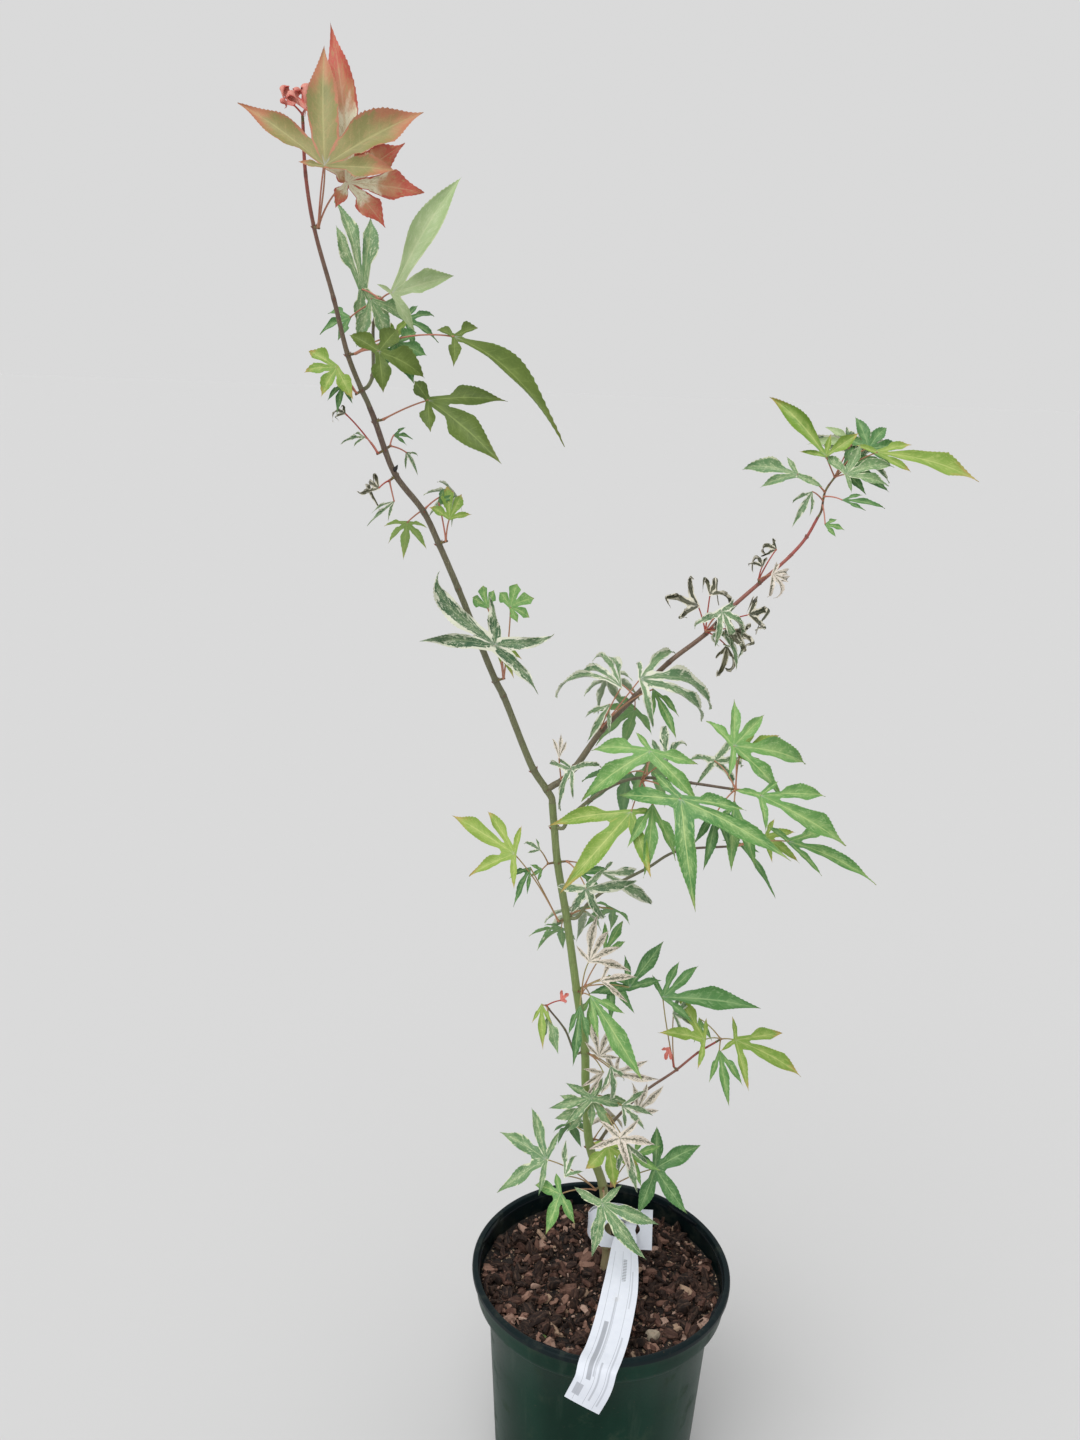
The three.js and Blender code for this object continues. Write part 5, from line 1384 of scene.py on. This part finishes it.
def potMaterial():
    n = newMaterial("green_pot_plastic")
    x, y, z = n.axes(n.place())
    flat = n.add("CombineXYZ", {0: x, 1: y}).outputs[0]
    radius = n.add("VectorMath", {0: flat}, operation="LENGTH").outputs["Value"]
    # moulded in one go: streaks of thinner and thicker colour, flow lines round the wall
    flow = n.noise(1.0, 4.0, (26, 26, 5))
    base = n.mix(n.step(flow, 0.3, 0.75), sRgb(3, 38, 27), sRgb(8, 51, 38))
    rim = n.step(z, 0.172, 0.1755)
    base = n.mix(n.times(rim, 0.85), base, sRgb(17, 25, 31))
    # painted shade: the inner wall of the collar above the compost, and the stacking ribs inside it, are
    # darkened almost to black
    inward = n.times(n.step(radius, 0.0906, 0.0902), n.step(z, 0.158, 0.160))
    base = n.mix(n.times(inward, 0.85), base, sRgb(13, 18, 23))
    # dust, splashes of soil, dry water marks and fine scuffs
    dust = n.grit(0.52, 0.74, 60.0, 6.0, None, 0.65)
    drips = n.grit(0.57, 0.74, 1.0, 5.0, (75, 75, 10), 0.6)
    splash = n.grit(0.68, 0.76, 420.0, 3.0)
    scuffs = n.grit(0.66, 0.78, 1.0, 5.0, (240, 240, 900), 0.7)
    edge = n.math("MAXIMUM", rim, n.step(z, 0.006, 0.002))
    base = n.mix(n.times(dust, 0.11), base, sRgb(120, 124, 104))
    base = n.mix(n.times(drips, 0.09), base, sRgb(108, 120, 106))
    base = n.mix(n.times(splash, 0.5), base, sRgb(78, 66, 50))
    base = n.mix(n.times(scuffs, n.timesPlus(edge, 0.25, 0.08)), base, sRgb(140, 152, 142))
    rough = n.timesPlus(dust, 0.25, n.timesPlus(n.noise(900.0, 3.0), 0.12, 0.3))
    lines = n.math("SINE", n.times(z, 5200.0))
    height = n.timesPlus(lines, 0.08, n.times(n.noise(1500.0, 2.0), 0.5))
    return n.dress(base, rough, n.timesPlus(flow, 0.8, height), 0.18, 0.0004, 0.1)


potPlastic = potMaterial()
potPiece = turnPot()
drillPot(potPiece)
for piece in (potPiece, addRibs()):
    finishPiece(piece, pot["smooth"], potPlastic, "pot_plastic", ["pot"])
print("pot faces", len(potPiece.data.polygons))


# mulch: a bed of dark compost, and loose bark chips laid on it
mulch = {
    "radius": 88.7, "top": 160.4, "rings": 46, "sectors": 120, "weld": 0.02, "smooth": 50,
    "waves": ((0.045, 2.0), (0.1395, 0.7), (0.405, 0.35)), "mound": 3.0, "moundReach": 22, "seat": (6, 14),
    # radius and height down the side, inside the pot's wall
    "side": [(88.7, 161.5), (80.4, 159.9), (71, 2.5)],
}


def fromSeat(x, y):
    return math.hypot(x - mulch["seat"][0], y - mulch["seat"][1])


def bedHeight(x, y):
    rise = sum(noise.noise(Vector((x, y, 0)) * scale) * height for scale, height in mulch["waves"])
    return mulch["top"] + rise + mulch["mound"] * math.exp(-((fromSeat(x, y) / mulch["moundReach"]) ** 2))


def addBed():
    corners = []
    rings, sectors = mulch["rings"], mulch["sectors"]
    circles = [(mulch["radius"] * ring / rings, None, ring) for ring in range(rings + 1)]
    circles += [(radius, height, rings) for radius, height in mulch["side"]]
    for radius, height, ring in circles:
        for k in range(sectors):
            cosine, sine = turned(360 * (k + 0.5 * (ring % 2)) / sectors)
            x, y = radius * cosine, radius * sine
            z = bedHeight(x, y) if height is None else height
            corners.append((x, y, z))
    faces = [*quadsRound(0, len(circles) - 1, sectors), tuple(range(len(corners) - sectors, len(corners)))]
    piece = pieceFromLists("compost_bed", corners, faces)
    mend(piece, mulch["weld"] * millimetre)
    return piece


def bedMaterial():
    n = newMaterial("dark_compost")
    crumbs = n.add("TexVoronoi", {"Vector": n.place(), "Scale": 620.0}).outputs
    tone = n.channels(crumbs["Color"])
    fine = n.noise(900.0, 5.0)
    base = n.mix(tone[0], sRgb(20, 15, 13), sRgb(38, 28, 23))
    base = n.mix(n.step(fine, 0.55, 0.8), base, sRgb(70, 52, 40))
    base = n.mix(n.step(tone[1], 0.93, 0.96), base, sRgb(150, 128, 104))
    height = n.timesPlus(crumbs["Distance"], -1.0, n.times(fine, 0.6))
    return n.dress(base, n.timesPlus(fine, 0.2, 0.75), height, 0.9, 0.0012)


finishPiece(addBed(), mulch["smooth"], bedMaterial(), "bark_chips", ["bark_mulch"])

chips = {
    # how many, from what length to what length, how tilted, and how much the short ones prevail
    "flakes": (1700, (4.5, 15), 0.55, 2.2), "crumbs": (1500, (1.6, 4.5), 0.6, 1.4),
    "seed": 5, "slim": (0.35, 0.8), "leastWidth": 1.2, "flat": (0.14, 0.36), "leastDepth": 0.7,
    "placedTilt": 0.08, "colours": ("brown", "dark", "pale"), "odds": (0.74, 0.23, 0.03),
    "corners": (6, 10), "cornerShift": 0.35, "reach": (0.66, 1.14), "warp": 0.5, "foot": 0.86, "crown": 0.76,
    "edgeRise": (-0.1, 0.25), "topRise": (0.6, 1.2), "topWarp": 0.6,
    "overlap": 0.3, "slope": 0.35, "sunk": 0.35, "stack": 0.45,
    "scatter": 86, "clear": 5, "limit": 88.2, "top": 172, "highest": 169, "pile": 168, "smooth": 35,
}
chipColours = {"brown": 0, "dark": 1, "pale": 2, "stone": 3, "green": 4}
# x, y, length, width and depth, colour, bearing
placedBits = [
    (-49, 47, 21, 17, 13, "dark", 0), (-56, -2, 15, 4, 2, "pale", 100), (-60, -4, 12, 3, 2, "pale", 70),
    (52, -44, 11, 8, 3, "pale", 30), (35, -53, 11, 9, 7, "stone", 0), (32, -73, 8, 6, 5, "stone", 20),
    (-44, -60, 9, 5, 2, "green", 10), (-40, -63, 6, 4, 2, "green", 80), (-69, -50, 8, 3, 1.5, "green", -30),
    (59, -27, 15, 12, 8, "dark", 15), (-24, -10, 17, 12, 4, "brown", 20), (-17, -18, 9, 4, 2, "pale", -20),
    (-46, -42, 20, 11, 4, "brown", 40), (64, 6, 16, 10, 4, "brown", 10), (74, -18, 18, 8, 4, "brown", 60),
    (50, -8, 15, 9, 4, "brown", -20),
]


def chipBody(draw, length, width, depth):
    # a split flake: an uneven outline of six to nine corners, thicker in the middle, with a bevelled top
    count = draw.integers(*chips["corners"])
    shift = chips["cornerShift"]
    turns = np.sort((np.arange(count) + draw.uniform(-shift, shift, count)) * 2 * math.pi / count)
    reach = draw.uniform(*chips["reach"], count)
    outline = np.stack([np.cos(turns) * reach * length / 2, np.sin(turns) * reach * width / 2], 1)
    bend = draw.uniform(-chips["warp"], chips["warp"]) * depth * (2 * outline[:, 0] / length) ** 2
    foot, crown = outline * chips["foot"], outline * chips["crown"]
    corners = [(x, y, z - depth / 2) for (x, y), z in zip(foot, bend)]
    corners += [(x, y, z + depth * draw.uniform(*chips["edgeRise"])) for (x, y), z in zip(outline, bend)]
    for (x, y), z in zip(crown, bend):
        corners.append((x, y, z * chips["topWarp"] + depth / 2 * draw.uniform(*chips["topRise"])))
    ends = [tuple(reversed(range(count))), tuple(range(2 * count, 3 * count))]
    return np.array(corners), [*quadsRound(0, 2, count), *ends]


def addChips():
    draw = np.random.default_rng(chips["seed"])
    store = newStore()
    total = chips["flakes"][0] + chips["crumbs"][0] + len(placedBits)
    laid, count = np.zeros((total, 4)), 0

    def lay(x, y, length, width, depth, colour, bearing, tilt):
        nonlocal count
        corners, faces = chipBody(draw, length, width, depth)
        turn = Matrix.Rotation(math.radians(bearing), 3, "Z")
        turn = turn @ Matrix.Rotation(tilt[0], 3, "X") @ Matrix.Rotation(tilt[1], 3, "Y")
        spots = corners @ np.array(turn).T
        # it rests on the bed and on the chips that lie there already
        there = laid[:count]
        near = np.hypot(there[:, 0] - x, there[:, 1] - y)
        covered = near < (there[:, 2] + length) * chips["overlap"]
        tops = np.where(covered, there[:, 3] - near * chips["slope"], 0)
        height = min(max(bedHeight(x, y), tops.max(initial=0)), chips["highest"])
        spots += np.array([x, y, height - spots[:, 2].min() - chips["sunk"] * depth])
        outside = np.hypot(spots[:, 0], spots[:, 1]).max()
        if outside > chips["limit"]:
            spots[:, :2] -= np.array([x, y]) * (outside - chips["limit"]) / max(1, math.hypot(x, y))
        if spots[:, 2].max() > chips["top"]:
            return
        laid[count] = (x, y, length, min(height + depth * chips["stack"], chips["pile"]))
        count += 1
        first = len(store["corners"])
        tone = (draw.random(), chipColours[colour] / 4, draw.random(), 1)
        store["corners"] += list(spots)
        for face in faces:
            store["faces"].append(tuple(first + k for k in face))
            store["map"] += [tuple(corners[k][:2] * millimetre) for k in face]
            store["tone"] += [tone] * len(face)

    def scatter(number, lengths, lean, power):
        for _ in range(number):
            radius = chips["scatter"] * math.sqrt(draw.random())
            bearing = draw.random() * 2 * math.pi
            x, y = radius * math.cos(bearing), radius * math.sin(bearing)
            if fromSeat(x, y) < chips["clear"]:
                continue
            length = lengths[0] + (lengths[1] - lengths[0]) * draw.random() ** power
            width = max(chips["leastWidth"], length * draw.uniform(*chips["slim"]))
            depth = max(chips["leastDepth"], length * draw.uniform(*chips["flat"]))
            colour = draw.choice(chips["colours"], p=chips["odds"])
            lay(x, y, length, width, depth, colour, draw.uniform(0, 360), draw.normal(0, lean, 2))

    scatter(*chips["flakes"])
    for bit in placedBits:
        lay(*bit, draw.normal(0, chips["placedTilt"], 2))
    scatter(*chips["crumbs"])
    return pieceFromStore("bark_chips", store, "chipMap", "chipTone")


def chipMaterial():
    n = newMaterial("split_bark")
    tone = n.tones("chipTone")
    fibre = n.noiseAt(n.stretched(n.uv("chipMap"), (160, 520, 1)), 1.0, 5.0, 0.6)
    blotch = n.noise(330.0, 5.0, None, 0.65)
    brown = n.ramp(tone[0], (0.0, (26, 19, 18)), (0.4, (44, 31, 27)), (0.72, (90, 63, 54)),
        (0.9, (148, 114, 99)), (1.0, (186, 158, 142)))
    kind = n.ramp(tone[1], (0.0, (96, 64, 48)), (0.25, (34, 26, 23)), (0.5, (166, 140, 118)),
        (0.75, (160, 148, 130)), (1.0, (88, 112, 60)))
    base = n.mix(n.step(tone[1], 0.1, 0.2), brown, kind)
    base = n.mix(n.times(n.step(fibre, 0.42, 0.8), 0.4), base, sRgb(158, 124, 104))
    base = n.mix(n.times(n.step(blotch, 0.5, 0.7), 0.5), base, sRgb(40, 27, 22))
    height = n.timesPlus(fibre, 0.7, n.times(blotch, 0.4))
    return n.dress(base, n.timesPlus(fibre, 0.25, 0.6), height, 1.0, 0.0009, 0.2)


chipPiece = addChips()
finishPiece(chipPiece, chips["smooth"], chipMaterial(), "bark_chips", ["bark_mulch"])
print("chip faces", len(chipPiece.data.polygons))


# label: a slotted head plate before the stem, a neck round its back, and a tail drawn through
# the slot and over the rim
label = {
    "thickness": 0.5, "columns": 10, "between": 8, "plateTo": 2.5, "weld": 0.002, "smooth": 30,
    "bowMiddle": 0.6, "mapStep": 100, "wallWithin": 0.02, "wallOff": 2e-5, "wallFacing": 0.9,
    "slot": {
        "centre": (14, -2.5, 211), "halfWidth": 13, "halfHeight": 6.5, "depth": 14, "lean": 23.5, "sides": 64,
    },
    # how far its middle stands off its edges, by the station along the course
    "bowAt": [0, 2.5, 8, 10.5, 12, 13.5, 16, 19],
    "bow": [0, 0, 0.5, 2.4, 2.8, 1.2, 0.5, 0.4],
    # middle of the strip, the way its width runs there, and that width
    "course": [
        ((36, -3, 211), (0, 0.4, 0.92), 28), ((17, -2.5, 211), (0, 0.4, 0.92), 28),
        ((-2, -1, 210.5), (0, 0.4, 0.92), 27), ((-8, 4, 207), (0, 0.25, 0.97), 20),
        ((-10, 13, 204), (0, 0, 1), 15), ((-5, 23, 203), (0, 0, 1), 14),
        ((6, 27, 203), (0, 0, 1), 14), ((17, 23, 204), (0.25, 0, 1), 14),
        ((21, 14, 206), (0.65, 0, 0.75), 14), ((19, 5, 209), (0.97, 0, 0.25), 13),
        ((17, -2.5, 211), (1, 0, 0), 13), ((16.5, -9, 210.5), (1, 0.05, 0.08), 15),
        ((15.2, -15, 207.5), (1, 0.05, 0.1), 18), ((13.5, -30, 201.5), (1, 0, 0.1), 22),
        ((10.5, -48, 195), (1, -0.1, 0.05), 25), ((3.5, -74, 184.5), (0.98, -0.2, 0), 26),
        ((-1.5, -88, 180.7), (0.97, -0.22, -0.05), 26), ((-6, -99, 179.3), (0.93, -0.3, -0.2), 26),
        ((-8.7, -105.5, 172.3), (0.86, -0.2, -0.5), 26), ((-16, -110, 158.5), (0.84, -0.1, -0.53), 26),
    ],
}


def labelRings():
    places, acrosses, widths = zip(*label["course"])
    middle = Course(places, label["between"])
    ways = Course(acrosses, label["between"]).samples
    shares = np.linspace(-1, 1, label["columns"] + 1)
    rings = []
    for i, centre in enumerate(middle.samples):
        station = i / label["between"]
        ahead = unit(middle.samples[min(i + 1, len(ways) - 1)] - middle.samples[max(i - 1, 0)])
        across = unit(ways[i] - ahead * ways[i].dot(ahead))
        through = np.cross(ahead, across)
        half = np.interp(station, range(len(widths)), widths) / 2
        bow = np.interp(station, label["bowAt"], label["bow"])
        bows = bow * (label["bowMiddle"] - shares * shares)
        line = [centre + across * share * half + through * rise for share, rise in zip(shares, bows)]
        rings.append((line, through * label["thickness"] / 2, middle.lengths[i] / label["mapStep"]))
    return rings, middle.length


def labelPart(name, rings):
    # a thin body: the printed face, the plain face, and the edges between them
    columns = label["columns"]
    half = columns + 1
    wide = 2 * half
    corners, faces, maps, sides = [], [], [], []
    for line, lift, _ in rings:
        corners += [spot + lift for spot in line] + [spot - lift for spot in line]

    def put(spots, side):
        faces.append(tuple(spots))
        maps.extend((2 * (spot % wide % half) / columns - 1, rings[spot // wide][2]) for spot in spots)
        sides.extend([(side, 0, 0, 1)] * len(spots))

    for i in range(len(rings) - 1):
        a, b = i * wide, (i + 1) * wide
        for k in range(columns):
            put((a + k, a + k + 1, b + k + 1, b + k), 1)
            put((a + k + half, b + k + half, b + k + half + 1, a + k + half + 1), 0)
        put((a, b, b + half, a + half), 0)
        a, b = a + columns, b + columns
        put((a + half, b + half, b, a), 0)
    for k in range(columns):
        put((k, k + half, k + half + 1, k + 1), 0)
    for k in range(len(corners) - wide, len(corners) - half - 1):
        put((k + 1, k + half + 1, k + half, k), 0)
    piece = pieceFromLists(name, corners, faces)
    cornerMap(piece, "labelMap", maps)
    cornerTone(piece, "labelFace", sides)
    return piece


def addLabel():
    rings, length = labelRings()
    seam = int(label["plateTo"] * label["between"])
    plate = labelPart("label_plate", rings[: seam + 1])
    strip = labelPart("stem_tie_label", rings[seam:])
    slot = label["slot"]
    bpy.ops.object.select_all(action="DESELECT")
    depth = slot["depth"] * millimetre
    bpy.ops.mesh.primitive_cylinder_add(vertices=slot["sides"], radius=millimetre, depth=depth)
    punch = bpy.context.object
    punch.scale = (slot["halfWidth"], slot["halfHeight"], 1)
    punch.rotation_euler = (math.radians(90 - slot["lean"]), 0, 0)
    punch.location = [value * millimetre for value in slot["centre"]]
    punchOut(plate, punch)
    selectOnly(plate, strip)
    bpy.ops.object.join()
    weldLabel(strip, np.array(rings[seam][0]).mean(0), np.array(rings[seam + 1][0]).mean(0))
    return strip, length


def weldLabel(strip, middle, beyond):
    # the two walls between plate and strip go, and their edges are welded
    mesh = bmesh.new()
    mesh.from_mesh(strip.data)
    ahead = Vector(beyond - middle).normalized()

    def betweenParts(face):
        out = face.calc_center_median() - Vector(middle * millimetre)
        facing = abs(face.normal.dot(ahead)) > label["wallFacing"]
        return facing and out.length < label["wallWithin"] and abs(out.dot(ahead)) < label["wallOff"]

    bmesh.ops.delete(mesh, geom=[face for face in mesh.faces if betweenParts(face)], context="FACES")
    bmesh.ops.remove_doubles(mesh, verts=mesh.verts, dist=label["weld"] * millimetre)
    mesh.to_mesh(strip.data)
    print("label open edges", sum(not edge.is_manifold for edge in mesh.edges))
    mesh.free()


# plain print: long rules, and solid blocks, each with its edges across the label, how far back from
# the label's end it starts and stops, and how dark it is
labelPrint = {
    "rules": (-0.62, -0.04, 0.52), "ruleWidth": 0.012, "ruleSpan": (1.12, 0.01),
    "blocks": [
        (-0.46, -0.22, 0.60, 0.17, 0.62), (-0.16, -0.07, 0.78, 0.20, 0.4), (0.12, 0.22, 0.30, 0.05, 0.42),
        (0.62, 0.71, 0.52, 0.04, 0.36), (0.62, 0.70, 0.98, 0.72, 0.3), (-0.80, -0.40, 0.125, 0.045, 0.5),
    ],
}


def labelMaterial(length):
    n = newMaterial("white_label_film")
    across, along = n.axes(n.uv("labelMap"))[:2]
    end = length / label["mapStep"]

    def band(value, low, high, soft):
        return n.times(n.step(value, low - soft, low + soft), n.step(value, high + soft, high - soft))

    def block(low, high, first, last, soft=0.012):
        return n.times(band(across, low, high, soft), band(along, end - first, end - last, 0.002))

    film = n.noise(260.0, 4.0)
    base = n.mix(film, sRgb(212, 217, 228), sRgb(226, 230, 238))
    printed = 0.0
    for low in labelPrint["rules"]:
        printed = n.math("MAXIMUM", printed, block(low, low + labelPrint["ruleWidth"], *labelPrint["ruleSpan"]))
    # a patch of bars near the stem
    stripes = n.step(n.math("SINE", n.times(along, 560.0)), -0.1, 0.2)
    printed = n.math("MAXIMUM", printed, n.times(n.times(block(0.02, 0.26, 1.06, 0.90), stripes), 0.9))
    for *edges, dark in labelPrint["blocks"]:
        printed = n.math("MAXIMUM", printed, n.times(block(*edges, 0.02), dark))
    printed = n.times(printed, n.tones("labelFace")[0])
    base = n.mix(n.times(printed, 0.8), base, sRgb(52, 56, 66))
    grime = n.grit(0.60, 0.78, 70.0, 6.0, None, 0.7)
    base = n.mix(n.times(grime, 0.22), base, sRgb(170, 164, 148))
    base = n.mix(n.times(n.grit(0.74, 0.8, 1300.0, 2.0), 0.45), base, sRgb(110, 92, 72))
    rough = n.timesPlus(grime, 0.3, n.timesPlus(film, 0.15, 0.3))
    return n.dress(base, rough, n.timesPlus(printed, 0.3, film), 0.12, 0.0002)


labelPiece, labelLength = addLabel()
finishPiece(labelPiece, label["smooth"], labelMaterial(labelLength), "label_plastic", ["stem_label"])
print("label length", round(labelLength))


# studio: a pale floor that runs into an even room, and one broad soft light from the front left
studio = {
    "floor": 400, "floorSides": 128, "floorAt": (0, 0, -0.0005), "albedo": 0.62, "rough": 0.9, "shine": 0.1,
    "room": 0.7, "lightFrom": (-0.5, -0.8, 1.5), "light": 1.6, "broad": 50,
}


def addFloor():
    bpy.ops.object.select_all(action="DESELECT")
    bpy.ops.mesh.primitive_circle_add(
        vertices=studio["floorSides"], radius=studio["floor"], fill_type="NGON", location=studio["floorAt"])
    floor = bpy.context.object
    floor.name = "studio_floor"
    n = newMaterial("pale_floor")
    shader = n.tree.nodes["Principled BSDF"].inputs
    shader["Base Color"].default_value = (studio["albedo"], studio["albedo"], studio["albedo"], 1)
    shader["Roughness"].default_value = studio["rough"]
    shader["Specular IOR Level"].default_value = studio["shine"]
    floor.data.materials.append(n.material)


def addLight():
    data = bpy.data.lights.new("broad_soft_light", "SUN")
    data.energy, data.angle = studio["light"], math.radians(studio["broad"])
    lamp = bpy.data.objects.new("broad_soft_light", data)
    lamp.rotation_euler = (-Vector(studio["lightFrom"])).to_track_quat("-Z", "Y").to_euler()
    bpy.context.scene.collection.objects.link(lamp)


def addRoom():
    world = bpy.data.worlds.new("soft_room")
    world.use_nodes = True
    background = world.node_tree.nodes["Background"].inputs
    background["Color"].default_value = (1, 1, 1, 1)
    background["Strength"].default_value = studio["room"]
    bpy.context.scene.world = world


addFloor()
addLight()
addRoom()
bpy.context.scene.view_settings.view_transform = "Standard"
